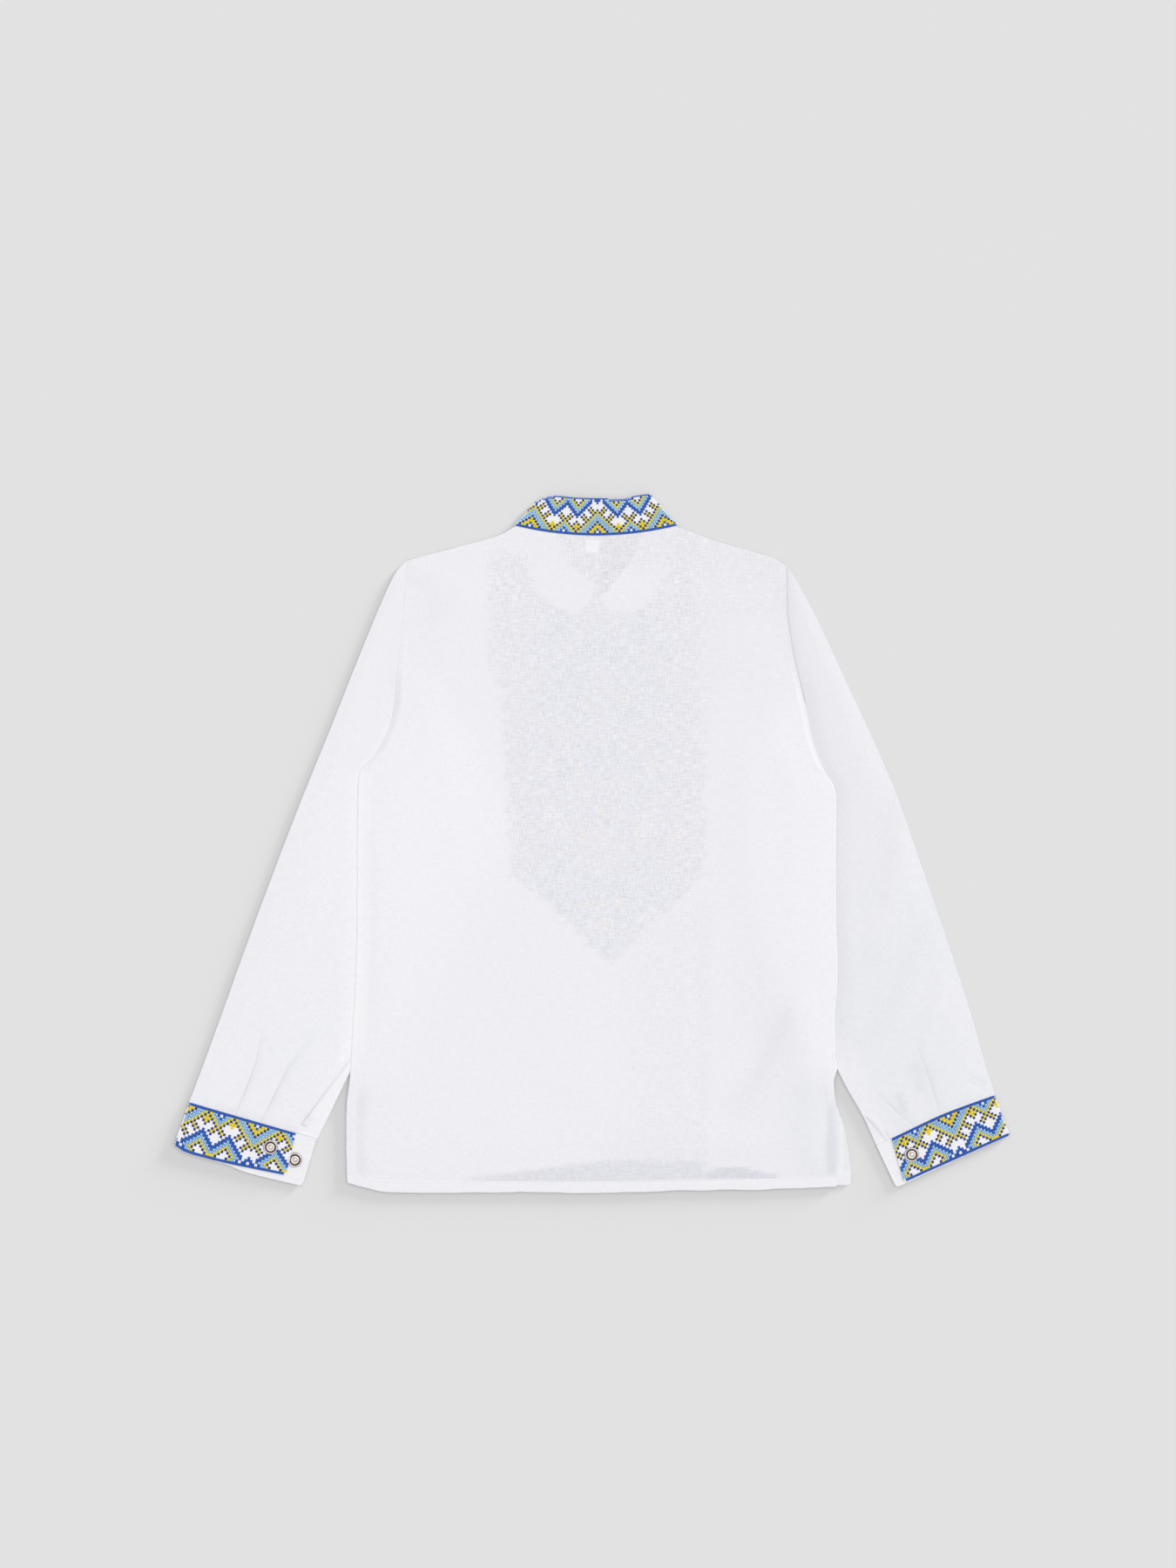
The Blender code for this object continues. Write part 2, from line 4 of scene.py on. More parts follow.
import bpy
import numpy as np
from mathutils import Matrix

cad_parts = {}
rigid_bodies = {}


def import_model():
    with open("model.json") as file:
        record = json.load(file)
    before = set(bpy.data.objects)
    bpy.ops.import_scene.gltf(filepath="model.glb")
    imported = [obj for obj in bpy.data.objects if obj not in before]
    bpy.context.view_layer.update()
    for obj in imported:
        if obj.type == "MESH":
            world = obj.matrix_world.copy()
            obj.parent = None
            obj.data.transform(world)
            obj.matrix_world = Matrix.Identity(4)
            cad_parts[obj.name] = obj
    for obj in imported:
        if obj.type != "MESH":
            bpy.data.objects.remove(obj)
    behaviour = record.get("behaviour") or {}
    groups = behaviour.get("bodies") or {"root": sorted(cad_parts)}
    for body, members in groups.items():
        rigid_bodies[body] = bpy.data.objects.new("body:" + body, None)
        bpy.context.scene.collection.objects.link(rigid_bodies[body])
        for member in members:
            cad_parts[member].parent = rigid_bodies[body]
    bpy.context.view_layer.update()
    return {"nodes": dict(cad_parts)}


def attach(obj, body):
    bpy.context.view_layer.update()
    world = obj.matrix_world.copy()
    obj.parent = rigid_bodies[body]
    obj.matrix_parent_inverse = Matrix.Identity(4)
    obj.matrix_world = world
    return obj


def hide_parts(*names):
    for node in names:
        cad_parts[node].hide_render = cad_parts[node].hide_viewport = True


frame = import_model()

# A child's vyshyvanka lies flat with its back up. Sizes are in millimetres in the frame of the solids, left and
# right are as seen from above, and meshes are turned to metres when they are made. Colours are sRGB out of 255,
# as they look in this light.
MM = 0.001

# Layers, as in the solids
HEM_EXTRA = 0.3
SEAM_GAP = 0.5
ARMHOLE_GAP = -0.3
TOP_OF_PAIR = 2.4

# Real cloth is thinner than the solids' walls, so edges and tucks are lower than theirs
THIN = 0.35
LIFT_OFF = 0.02
EDGE_PAIR = 1.45
EDGE_RUN = 20.0
EDGE_RADIUS = 0.6
FRONT_TOP = 0.45
SLEEVE_FOLD = 1.55
SLEEVE_RUN = 18.0
TUCKED_TOP = 1.25
BAND_THICK = 0.45
BAND_UNDER = 0.66
CUFF_TOP = 2.15
CUFF_BEND = (CUFF_TOP - BAND_UNDER) / 2
COLLAR_TOP_Z = TOP_OF_PAIR + 0.1
COLLAR_BEND = (COLLAR_TOP_Z - BAND_UNDER) / 2

# Body: rows of (height y, edge x)
LEFT_EDGE = [(-289, -208), (-257, -209), (-222, -208.5), (-198, -205.5), (-150, -203), (-91, -200),
             (-20, -199.5), (50, -198.5), (62, -196.5), (77, -183.5), (94, -174.6), (108, -169.8),
             (125, -167), (143, -166), (165, -163.5), (195, -161), (241, -157)]
RIGHT_EDGE = [(-292, 208), (-257, 208.2), (-222, 207), (-200, 205.5), (-195, 207.3), (-191, 208.9),
              (-181, 207.6), (-146, 206.8), (-110, 209), (-48, 207.5), (39, 208), (51, 205), (64, 197),
              (86, 188.3), (108, 183.5), (130, 178.7), (151, 173.5), (175, 169), (199, 166), (236, 165.5)]
FRONT_RIGHT_EDGE = [(-290.6, 220.4), (-273, 220), (-241, 214.6), (-222, 208.2), (-204, 205.6)] + RIGHT_EDGE[4:]
BACK_HEM = [(-208, -289), (-176, -296), (-68, -296.7), (14, -297), (84, -295), (161, -294), (208, -292)]
FRONT_HEM = [(-208, -287), (-121, -285), (-60, -279), (11, -270), (70, -271), (97, -275), (130, -284),
             (190, -290), (221, -290.6)]
LEFT_SHOULDER = [(-157, 241), (-133, 247.5), (-108, 254), (-80, 262), (-65.5, 269.7)]
RIGHT_SHOULDER = [(72.5, 269.7), (102, 258.6), (134, 249), (156, 242.3), (165.5, 236)]
HEM_HEIGHT = 9.0
VENT_HEIGHT = 86.0
VENT_FACING = 7.0
NECK_MIDDLE = 3.5
NECK_HALF = 69.0
NECK_LEFT, NECK_RIGHT = NECK_MIDDLE - NECK_HALF, NECK_MIDDLE + NECK_HALF
NECK_TOP = 269.7
BACK_NECK_DROP = 8.5
FRONT_NECK_DROP = 91.0
FRONT_NECK_POWER = 1.35
SLIT_LENGTH = 120.0
SLIT_HALF = 0.6
FRONT_INSET = 1.4
FLAP_HEM_EXTRA = 2.4
FLAP_CORNER = 3.4
SEAT_GAP = 0.04
SEAT_RUN = 7.0
BODY_HEIGHT = LEFT_EDGE[-1][0] - LEFT_EDGE[0][0]
STITCH_PITCH = 2.6

# Collar: rows of (x, height y) along the free edge of its back half
COLLAR_TOP = [(-46.5, 291), (-38, 294.3), (-29, 295.3), (-14, 293.8), (8, 293.3), (26, 292.6), (37, 295.4),
              (48.5, 296.9)]
COLLAR_FRONT_BEND = (28.0, 262.0)
COLLAR_END = (3.5, 221.0)
COLLAR_LIFT = 1.5
COLLAR_WIDTH = 33.0

# Sleeves: rows of (share of the length, outer x, outer y, inner x, inner y)
LEFT_SLEEVE = [(0.00, -157.5, 240.5, -136, 62), (0.07, -167, 231, -134, 55), (0.14, -178, 209, -132, 47),
               (0.24, -199, 158, -127, 32), (0.36, -220, 104, -121, 10), (0.48, -241, 51, -124, -18),
               (0.60, -265, -11, -148, -56), (0.72, -289, -75, -174, -110), (0.84, -312, -139, -200, -180),
               (0.92, -328, -183, -217, -216), (1.00, -341.5, -218.7, -233.5, -250)]
RIGHT_SLEEVE = [(0.00, 166, 235.5, 148, 75), (0.07, 173, 226, 147.5, 66), (0.14, 184, 206, 147, 56),
                (0.20, 197, 180, 146.5, 46), (0.30, 218, 134, 146, 28), (0.40, 238, 90, 145.5, 6),
                (0.52, 258, 42, 149, -30), (0.64, 280, -20, 161, -80), (0.76, 303, -88, 184, -140),
                (0.88, 323, -150, 214.8, -203), (0.95, 333, -186, 231.2, -232), (1.00, 341.5, -212.8, 241.6, -255)]
SLEEVE_LENGTH = 500.0
HEAD_TURN_Y = 122.0
HEAD_TURN_POWER = 1.6
HEAD_FADE_SHARE = 0.52
HEAD_SWELL = 2.6
HEAD_DROP = {-1: 0.42, 1: 0.7}
HEAD_RUN = {-1: 1.6, 1: 3.4}
HEAD_LOW_Y = 112.0
HEAD_CLIMB = 45.0
SLEEVE_PUFF = 1.5
SLEEVE_PUFF_CLEAR = 8.0
LEFT_CUFF = {"fold_seam": (-341.5, -219.4), "over_seam": (-251.2, -245.6), "under_seam": (-233.7, -250.6),
             "fold_edge": (-354.8, -255.7), "over_edge": (-259.8, -282.3), "under_edge": (-246, -290.4)}
RIGHT_CUFF = {"fold_seam": (341.5, -213.5), "over_seam": (254.2, -250.1), "under_seam": (241.2, -255.6),
              "fold_edge": (354.8, -248.3), "over_edge": (265.2, -288.4), "under_edge": (258.6, -292.7)}

# Where a sleeve lies under the body, the body rises over it
TUCK_RISE = 1.5
TUCK_MARGIN = 6.0
TUCK_RAMP = 46.0
BACK_PUFF = 1.3
PUFF_RUN = 40.0

# Folds as soft ridges or troughs: (x, y) to (x, y), half width, height
BACK_FOLDS = [(-153, 226, -112, 196, 13, -0.45), (162, 230, 108, 212, 14, -0.5), (178, -122, 124, -216, 15, -0.55),
              (188, -112, 140, -208, 14, 0.5), (104, -28, 104, -262, 15, 0.35), (88, -40, 90, -280, 12, -0.3),
              (-186, 40, -176, -150, 12, 0.25), (-120, 20, -168, -60, 16, -0.3), (-60, -150, 60, -262, 34, 0.22),
              (150, 120, 186, 10, 16, 0.3), (-150, 150, -120, 40, 20, 0.3), (-30, -120, -120, -250, 30, -0.2),
              (194, -150, 198, -282, 9, -0.4)]
SLEEVE_FOLDS = {
    "sleeve_left": [(-236, 96, -272, -36, 17, 0.25), (-262, -20, -308, -150, 12, 0.22),
                    (-214, -20, -262, -150, 15, -0.22), (-196, -110, -222, -190, 10, 0.25)],
    "sleeve_right": [(296, -40, 231, -178, 20, -0.4), (302, -90, 277, -200, 13, 0.4),
                     (222, 90, 236, -40, 14, 0.3), (262, 30, 300, -90, 14, -0.3),
                     (316, -200, 336, -209, 6, -0.45), (206, -60, 226, -180, 12, 0.3)]}

# Where folds keep light off: (x, y) to (x, y), half width, colour there
SLEEVE_SHADES = {
    "sleeve_left": [(-232, -150, -262, -205, 9, (235.4, 236.4, 241.0)),
                    (-248, -238, -241.5, -240.2, 1.1, (214, 213, 221)),
                    (-243, -229, -237, -236, 4.5, (232.6, 231.6, 237.6))],
    "sleeve_right": [(296, -40, 228, -182, 24, (231.8, 233.6, 237.8)), (262, 60, 246, -70, 15, (233.4, 232.8, 237.6)),
                     (318, -196, 338, -205, 5, (228.4, 230.2, 235.4)), (272, -180, 281, -216, 8, (228.6, 230.2, 235.6)),
                     (258, -208, 268, -232, 7, (226.5, 228.0, 234.0)), (214, 40, 226, -60, 9, (236.6, 236.0, 240.6))]}
BACK_SHADES = [(188, -118, 112, -244, 27, (233.6, 232.8, 238.0)), (184, -182, 186, -290, 44, (232.4, 233.4, 238.2)),
               (-164, 236, -118, 186, 19, (236.0, 235.2, 240.2)), (164, 232, 116, 214, 11, (233.0, 232.2, 237.4))]

# Pleats and slits at the cuff, each from the cuff up as rows of (y, x)
PLEATS = {"sleeve_left": [[(-224.6, -300.8), (-183.9, -285.3), (-149.1, -278.6)],
                          [(-233.5, -279.7), (-200.2, -263.1), (-172.0, -247.5)]],
          "sleeve_right": [[(-227.6, 294.9), (-196.5, 285.3), (-160.0, 272.0)],
                           [(-240.9, 272.7), (-215.7, 246.1), (-206.0, 238.0)]]}
PLEAT_DEPTH = 0.9
SLITS = {"sleeve_left": [(-238.4, -246.8), (-183.2, -205.4)], "sleeve_right": [(-254.0, 252.4), (-231.0, 231.5)]}

# Band charted: half a repeat, from the middle of a large triangle to the middle of a small one;
# rows run from the seam to the free edge. r royal blue, l light blue, y yellow, n navy, . bare linen
BAND = ["rrrrrrrrrrrrrrr",
        ".ryynlllynyllr.",
        "ryynlllynynyllr",
        "yynlllynyyynyll",
        "ynlllyn..y..nyl",
        "nlllyn.......ny",
        "lllynyn.....nyn",
        "llyn.nyn.r.nyn.",
        "lyn...n.rrr.n..",
        "ynyn...rrlrr...",
        "n.nyn.rrlllrr..",
        "...n.rrllyllrr.",
        "....rrllynyllrr",
        "r..rrllyn.nyllr",
        "rr.rllyn...nyll",
        ".rr.rllyn...nyy",
        "rrrrrrrrrrrrrrr"]
CROSS_ROWS = {4: "ynlllyn.nyn.nyl", 5: "nlllyn...n...ny"}
BAND_HALF = 14
BAND_ROWS = len(BAND)
STITCH_HALF = 0.37

# Threads and finishes
THREADS = {"r": (48, 108, 204), "l": (194, 233, 255), "y": (255, 238, 50), "n": (34, 54, 122)}
# Pads under the crosses: darker colours of the threads, painted shade in the gaps between the crosses
SHADED_GAP_THREADS = {"r": (34, 70, 168), "l": (62, 120, 202), "y": (232, 200, 44), "n": (38, 60, 134)}
CELL_SHARE = {"r": 1.0, "l": 1.0, "y": 1.0, "n": 0.9}
LINEN = (239, 238, 243)
FLOOR = (226, 226, 226)
FLOOR_ALBEDO = 0.74


# Numbers

def ease(share):
    """Soft step from 0 to 1."""
    share = np.clip(share, 0.0, 1.0)
    return share * share * (3.0 - 2.0 * share)


def ramp(distance, run):
    """Soft step that starts at distance 0 and ends at the run."""
    return ease(distance / run)


def step(distance, run):
    """Soft step with its middle at distance 0."""
    return ease(distance / run + 0.5)


def bell(distance, run):
    return np.exp(-(distance / run) ** 2)


def fade(distance, run):
    """1 up to distance 0, and less and less beyond it."""
    return np.exp(-np.maximum(distance, 0.0) / run)


def mix(a, b, share):
    return a + (b - a) * share


def read(rows, key, column=1):
    """Values of a column at keys, on a smooth curve through the rows, which ascend by their first column."""
    table = np.array(rows, float)
    key = np.asarray(key, float)
    last = len(table) - 2
    i = np.clip(np.searchsorted(table[:, 0], key, side="right") - 1, 0, last)
    before, after = np.maximum(i - 1, 0), np.minimum(i + 2, last + 1)
    keys, values = table[:, 0], table[:, column]
    run = keys[i + 1] - keys[i]
    slope_a = (values[i + 1] - values[before]) / (keys[i + 1] - keys[before])
    slope_b = (values[after] - values[i]) / (keys[after] - keys[i])
    t = (key - keys[i]) / run
    return (values[i] * (1 + 2 * t) * (1 - t) ** 2 + values[i + 1] * (3 - 2 * t) * t * t
            + run * (slope_a * t * (1 - t) ** 2 - slope_b * t * t * (1 - t)))


def line(rows, key):
    """Values of the second column at keys, on straight lines through the rows."""
    return np.interp(key, *np.array(rows, float).T)


def noise(x, y, size, seed):
    """Smooth noise from -1 to 1 with cells of the given size."""
    lattice = np.random.default_rng(seed).uniform(-1.0, 1.0, (97, 97))
    u, v = np.asarray(x) / size + 31.7, np.asarray(y) / size + 47.3
    i, j = np.floor(u).astype(int), np.floor(v).astype(int)
    a, b = ease(u - i), ease(v - j)
    low = mix(lattice[i % 97, j % 97], lattice[(i + 1) % 97, j % 97], a)
    high = mix(lattice[i % 97, (j + 1) % 97], lattice[(i + 1) % 97, (j + 1) % 97], a)
    return mix(low, high, b)


def uneven(x, y, *layers):
    """Sum of noises, each given by its height, size and seed."""
    return sum(height * noise(x, y, size, seed) for height, size, seed in layers)


def linear(colour):
    """Linear values of an sRGB colour."""
    value = np.asarray(colour, float) / 255.0
    return np.where(value <= 0.04045, value / 12.92, ((value + 0.055) / 1.055) ** 2.4)


ALBEDO_PER_TONE = FLOOR_ALBEDO / float(linear(FLOOR[0]))


def albedo(colour):
    """Surface colour that looks like the sRGB colour in light that shows the floor as it should."""
    return linear(colour) * ALBEDO_PER_TONE


def plain(colour, x):
    """Tone of one colour at each point."""
    return np.broadcast_to(albedo(colour), np.shape(x) + (3,))


def blend(tone, *fields):
    """Tone moved in turn towards the colour of each field by its share at each point."""
    for colour, share in fields:
        tone = tone + (albedo(colour) - tone) * np.clip(share, 0.0, 1.0)[..., None]
    return tone


def lifted(tone, *lifts):
    for lift in lifts:
        tone = tone * (1.0 + lift)[..., None]
    return tone


def soft_ridge(x, y, fold, seed):
    """Uneven soft ridge or trough along a line: its middle wanders, its height and width change."""
    x0, y0, x1, y1, half_width, height = fold
    length = math.hypot(x1 - x0, y1 - y0)
    share = ((x - x0) * (x1 - x0) + (y - y0) * (y1 - y0)) / length ** 2
    across = ((x - x0) * (y1 - y0) - (y - y0) * (x1 - x0)) / length
    wander = noise(x, y, 46.0, seed) * half_width * 0.35
    width = half_width * (1.0 + 0.3 * noise(x, y, 60.0, seed + 1))
    return height * bell(across + wander, 0.55 * width) * ramp(share, 0.3) * ramp(1.0 - share, 0.3)


def folds_at(x, y, folds, seed, seed_step):
    return sum(soft_ridge(x, y, fold, seed + seed_step * number) for number, fold in enumerate(folds))


def shaded(tone, x, y, shades, seed):
    """Tone with the shades of folds on it."""
    return blend(tone, *((colour, 0.9 * soft_ridge(x, y, (*fold, 1.0), seed + 3 * number))
                         for number, (*fold, colour) in enumerate(shades)))


# Shape of the body and its sleeves

def edge_x(rows, y):
    return read(rows, np.clip(y, rows[0][0], rows[-1][0]))


def sleeve_point(sleeve, s, w):
    """Plan points at shares s down the sleeve and w from its outer to its inner fold. Its head runs down along
    the body's edge, then in under the body."""
    rows = sleeve["rows"]
    top_x, top_y, inner_x, low_y = rows[0][1:5]
    head_y = mix(top_y, low_y, w)
    beside = read(sleeve["edge"], np.maximum(head_y, HEAD_TURN_Y)) + sleeve["side"] * ARMHOLE_GAP
    turned = np.maximum(HEAD_TURN_Y - head_y, 0.0) / (HEAD_TURN_Y - low_y)
    head_x = mix(beside, inner_x, turned ** HEAD_TURN_POWER)
    gone = np.minimum(s / HEAD_FADE_SHARE, 1.0)
    fading = (1.0 - gone) * (1.0 + HEAD_SWELL * gone)
    return (mix(read(rows, s, 1), read(rows, s, 3), w) + (head_x - mix(top_x, inner_x, w)) * fading,
            mix(read(rows, s, 2), read(rows, s, 4), w))


SLEEVES = {"sleeve_left": {"rows": LEFT_SLEEVE, "edge": LEFT_EDGE, "side": -1, "cuff": LEFT_CUFF},
           "sleeve_right": {"rows": RIGHT_SLEEVE, "edge": RIGHT_EDGE, "side": 1, "cuff": RIGHT_CUFF}}


def tucked_points():
    """Plan points of both sleeves that lie under the body."""
    found = []
    s, w = np.meshgrid(np.linspace(0, 1, 81), np.linspace(0, 1, 25))
    for sleeve in SLEEVES.values():
        x, y = sleeve_point(sleeve, s.ravel(), w.ravel())
        under = (y < 240) & (x > read(LEFT_EDGE, y) + SEAM_GAP) & (x < read(RIGHT_EDGE, y) - SEAM_GAP)
        found.append(np.column_stack([x[under], y[under]]))
    return np.vstack(found)


TUCKED = tucked_points()


def near_tuck(x, y):
    """Distance to the nearest point of a tucked sleeve."""
    flat_x, flat_y = np.ravel(x), np.ravel(y)
    best = np.empty(flat_x.shape)
    for start in range(0, len(flat_x), 4000):
        part = slice(start, start + 4000)
        gap = (flat_x[part, None] - TUCKED[None, :, 0]) ** 2 + (flat_y[part, None] - TUCKED[None, :, 1]) ** 2
        best[part] = np.sqrt(gap.min(axis=1))
    return best.reshape(np.shape(x))


def tuck_rise(x, y):
    return TUCK_RISE * ease(1.0 - (near_tuck(x, y) - TUCK_MARGIN) / TUCK_RAMP)


def neck_y(x, drop, power):
    reach = np.minimum(np.abs(x - NECK_MIDDLE) / NECK_HALF, 1.0)
    return NECK_TOP - drop * (1.0 - reach ** power)


def front_neck_y(x):
    return neck_y(x, FRONT_NECK_DROP, FRONT_NECK_POWER)


def back_neck_y(x):
    return neck_y(x, BACK_NECK_DROP, 2)


def top_y(x, panel_neck_y):
    """Upper edge of a panel: shoulder, neck and shoulder."""
    middle = panel_neck_y(np.clip(x, NECK_LEFT, NECK_RIGHT)) - SEAM_GAP
    shoulder = np.where(x < NECK_LEFT, read(LEFT_SHOULDER, np.minimum(x, NECK_LEFT)),
                        read(RIGHT_SHOULDER, np.maximum(x, NECK_RIGHT)))
    return np.where((x < NECK_LEFT) | (x > NECK_RIGHT), shoulder, middle)


def back_air(x, y):
    """Air between the two panels, none at the seams, the most in the middle."""
    inside = np.minimum(np.minimum(x - edge_x(LEFT_EDGE, y), edge_x(RIGHT_EDGE, y) - x),
                        np.minimum(y - BACK_HEM[0][1], 236.0 - y))
    over_facings = HEM_EXTRA * ramp(LEFT_EDGE[0][0] + VENT_HEIGHT + PUFF_RUN - y, PUFF_RUN)
    return BACK_PUFF * ramp(inside, PUFF_RUN) + over_facings


def sleeve_top(y, side):
    """Height of a sleeve's upper layer along the body's edge."""
    start = LEFT_SHOULDER[0][1] if side < 0 else RIGHT_SHOULDER[-1][1]
    head = mix(SLEEVE_FOLD, TOP_OF_PAIR, ramp(start - y, SLEEVE_RUN) ** 0.7) - HEAD_DROP[side]
    return mix(TUCKED_TOP, head, ramp(y - HEAD_LOW_Y, HEAD_CLIMB))


def roll(distance, radius, depth=None):
    """Drop of a rounded edge at a distance inside it."""
    t = np.clip(distance / radius, 0.0, 1.0)
    return (radius if depth is None else depth) * (1.0 - np.sqrt(np.maximum(1.0 - (1.0 - t) ** 2, 0.0)))


def rounding(near, radius):
    """How far a rounded corner draws an edge in, at a distance from the corner's other edge."""
    return radius - np.sqrt(radius ** 2 - np.maximum(radius - near, 0.0) ** 2)


def beside_line(x, y, rows):
    """Distance to the right of a steep line, and the share of the way up it."""
    table = np.array(rows, float)
    slope = (table[-1, 1] - table[0, 1]) / (table[-1, 0] - table[0, 0])
    line_x = read(rows, np.clip(y, table[0, 0] - 4.0, table[-1, 0]))
    return (x - line_x) / math.hypot(1.0, slope), (y - table[0, 0]) / (table[-1, 0] - table[0, 0])


def stitch_row(distance, width, place):
    """Sewn line: a groove with a small pit at each stitch."""
    return bell(distance, width) * (0.8 + 0.2 * np.cos(2 * np.pi * place / STITCH_PITCH))


# Meshes

def unit(run):
    return run / np.linalg.norm(run)


def walked(points):
    """Distance walked along a row of points."""
    return np.concatenate([[0.0], np.cumsum(np.linalg.norm(np.diff(points, axis=0), axis=1))])


def new_object(name, vertices, faces, finishes):
    mesh = bpy.data.meshes.new(name)
    mesh.from_pydata((np.asarray(vertices) * MM).tolist(), [], faces)
    mesh.update()
    mesh.polygons.foreach_set("use_smooth", np.full(len(mesh.polygons), True))
    made = bpy.data.objects.new(name, mesh)
    bpy.context.scene.collection.objects.link(made)
    for finish in finishes:
        mesh.materials.append(finish)
    return made


def grid_faces(rings, count, closed=False, keep=None, turned=False):
    """Quads of a grid of rings in rows; they look to the right-hand side of a ring's direction, or turned."""
    i, j = np.meshgrid(np.arange(rings - 1), np.arange(count if closed else count - 1), indexing="ij")
    if keep is not None:
        i, j = i[keep], j[keep]
    k = (j + 1) % count
    faces = np.stack([i * count + j, (i + 1) * count + j, (i + 1) * count + k, i * count + k], axis=-1)
    faces = faces.reshape(-1, 4)
    return (faces[:, ::-1] if turned else faces).tolist()


def settle(made, slot, *nodes):
    """The piece moves with the shirt and stands for its solids; its slot is not used."""
    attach(made, "root")
    if nodes:
        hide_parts(*nodes)
    return made


def add_cloth(name, grid, faces, slot, node, tone, sheer, across, along):
    """Thin shell that grows inwards from its outer surface, with its colour, see-through share and place in
    the flat cloth kept at each point."""
    banded = slot == "band"
    made = new_object(name, grid.reshape(-1, 3), faces, [band_linen if banded else linen])
    mesh = made.data
    count = len(mesh.vertices)
    colours = np.ones((count, 4))
    colours[:, :3] = tone.reshape(-1, 3)
    mesh.color_attributes.new("tone", "FLOAT_COLOR", "POINT").data.foreach_set("color", colours.ravel())
    share = np.ascontiguousarray(np.broadcast_to(np.ravel(sheer), count), float)
    mesh.attributes.new("sheer", "FLOAT", "POINT").data.foreach_set("value", share)
    place = np.zeros((count, 3))
    place[:, :2] = np.stack(np.broadcast_arrays(across, along), axis=-1).reshape(-1, 2) * MM
    mesh.attributes.new("cut", "FLOAT_VECTOR", "POINT").data.foreach_set("vector", place.ravel())
    wall = made.modifiers.new("wall", "SOLIDIFY")
    wall.thickness = (BAND_THICK if banded else THIN) * MM
    wall.offset = -1.0
    wall.use_even_offset = False
    return settle(made, slot, node)


# Finishes

class Finish:
    """Material whose nodes are added one by one."""

    def __init__(self, name, roughness, specular=0.5):
        self.made = bpy.data.materials.new(name)
        self.made.use_nodes = True
        self.nodes, self.link = self.made.node_tree.nodes, self.made.node_tree.links.new
        self.shader = self.nodes["Principled BSDF"]
        self.shader.inputs["Roughness"].default_value = roughness
        self.shader.inputs["Specular IOR Level"].default_value = specular

    def math(self, kind, a, b=None):
        made = self.nodes.new("ShaderNodeMath")
        made.operation = kind
        for socket, value in zip(made.inputs, (a,) if b is None else (a, b)):
            if isinstance(value, (int, float)):
                socket.default_value = value
            else:
                self.link(value, socket)
        return made.outputs[0]

    def times(self, a, b):
        return self.math("MULTIPLY", a, b)

    def total(self, first, *others):
        for other in others:
            first = self.math("ADD", first, other)
        return first

    def attribute(self, name, output):
        made = self.nodes.new("ShaderNodeAttribute")
        made.attribute_name = name
        return made.outputs[output]

    def place(self):
        return self.nodes.new("ShaderNodeTexCoord").outputs["Object"]

    def noise(self, source, scale, detail=2.0):
        """Noise whose cells are stretched by different scales across and along."""
        place = self.nodes.new("ShaderNodeMapping")
        place.inputs["Scale"].default_value = scale
        self.link(source, place.inputs["Vector"])
        made = self.nodes.new("ShaderNodeTexNoise")
        made.inputs["Scale"].default_value = 1.0
        made.inputs["Detail"].default_value = detail
        self.link(place.outputs[0], made.inputs["Vector"])
        return made.outputs["Fac"]

    def colour(self, colour, level):
        """Base colour, from a socket or three linear values, scaled by a level."""
        if not isinstance(colour, bpy.types.NodeSocket):
            base = self.nodes.new("ShaderNodeRGB")
            base.outputs[0].default_value = (*colour, 1.0)
            colour = base.outputs[0]
        scaled = self.nodes.new("ShaderNodeVectorMath")
        scaled.operation = "SCALE"
        self.link(colour, scaled.inputs[0])
        self.link(level, scaled.inputs["Scale"])
        self.link(scaled.outputs["Vector"], self.shader.inputs["Base Color"])

    def relief(self, height, strength, distance):
        made = self.nodes.new("ShaderNodeBump")
        made.inputs["Strength"].default_value = strength
        made.inputs["Distance"].default_value = distance
        self.link(height, made.inputs["Height"])
        self.link(made.outputs[0], self.shader.inputs["Normal"])


def linen_finish(name, pitch, bump):
    """Plain weave of uneven threads: slubs along and across, gaps that show where the cloth is sheer."""
    f = Finish(name, 0.88, 0.25)
    cut, sheer = f.attribute("cut", "Vector"), f.attribute("sheer", "Fac")
    parts = f.nodes.new("ShaderNodeSeparateXYZ")
    f.link(cut, parts.inputs[0])
    drift = f.times(f.noise(cut, (60.0, 60.0, 1.0)), 9.0)

    def waves(threads_wide):
        turns = 2.0 * math.pi / (threads_wide * pitch * MM)
        return [f.math("SINE", f.total(f.times(parts.outputs[axis], turns), drift)) for axis in ("X", "Y")]

    crossings = f.times(*waves(1))
    ribs = f.times(f.total(*waves(2)), f.math("POWER", sheer, 3.0))
    slubs = f.math("SUBTRACT", f.total(f.noise(cut, (820.0, 150.0, 1.0)), f.noise(cut, (130.0, 780.0, 1.0))), 1.0)
    speckle = f.math("SUBTRACT", f.noise(cut, (620.0, 620.0, 1.0), 3.0), 0.5)
    gaps = f.total(f.times(slubs, 0.29), f.times(speckle, 0.05), f.times(crossings, 0.035), f.times(ribs, 0.013))
    f.colour(f.attribute("tone", "Color"), f.total(f.times(slubs, 0.055), f.times(gaps, sheer), 1.0))
    f.relief(f.total(f.times(crossings, 0.35), f.times(slubs, 1.3)), bump, 0.00012)
    f.shader.inputs["Sheen Weight"].default_value = 0.06
    f.shader.inputs["Sheen Roughness"].default_value = 0.5
    return f.made


def thread_finish(name, colour, roughness=0.55):
    """Embroidery thread: strands twisted along it, slightly uneven in colour."""
    f = Finish(name, roughness, 0.35)
    place = f.place()
    strands = f.noise(place, (2600.0, 2600.0, 900.0))
    patches = f.noise(place, (130.0, 130.0, 130.0))
    f.colour(albedo(colour), f.total(f.times(strands, 0.34), f.times(patches, 0.22), 0.72))
    f.relief(strands, 0.5, 0.00008)
    return f.made


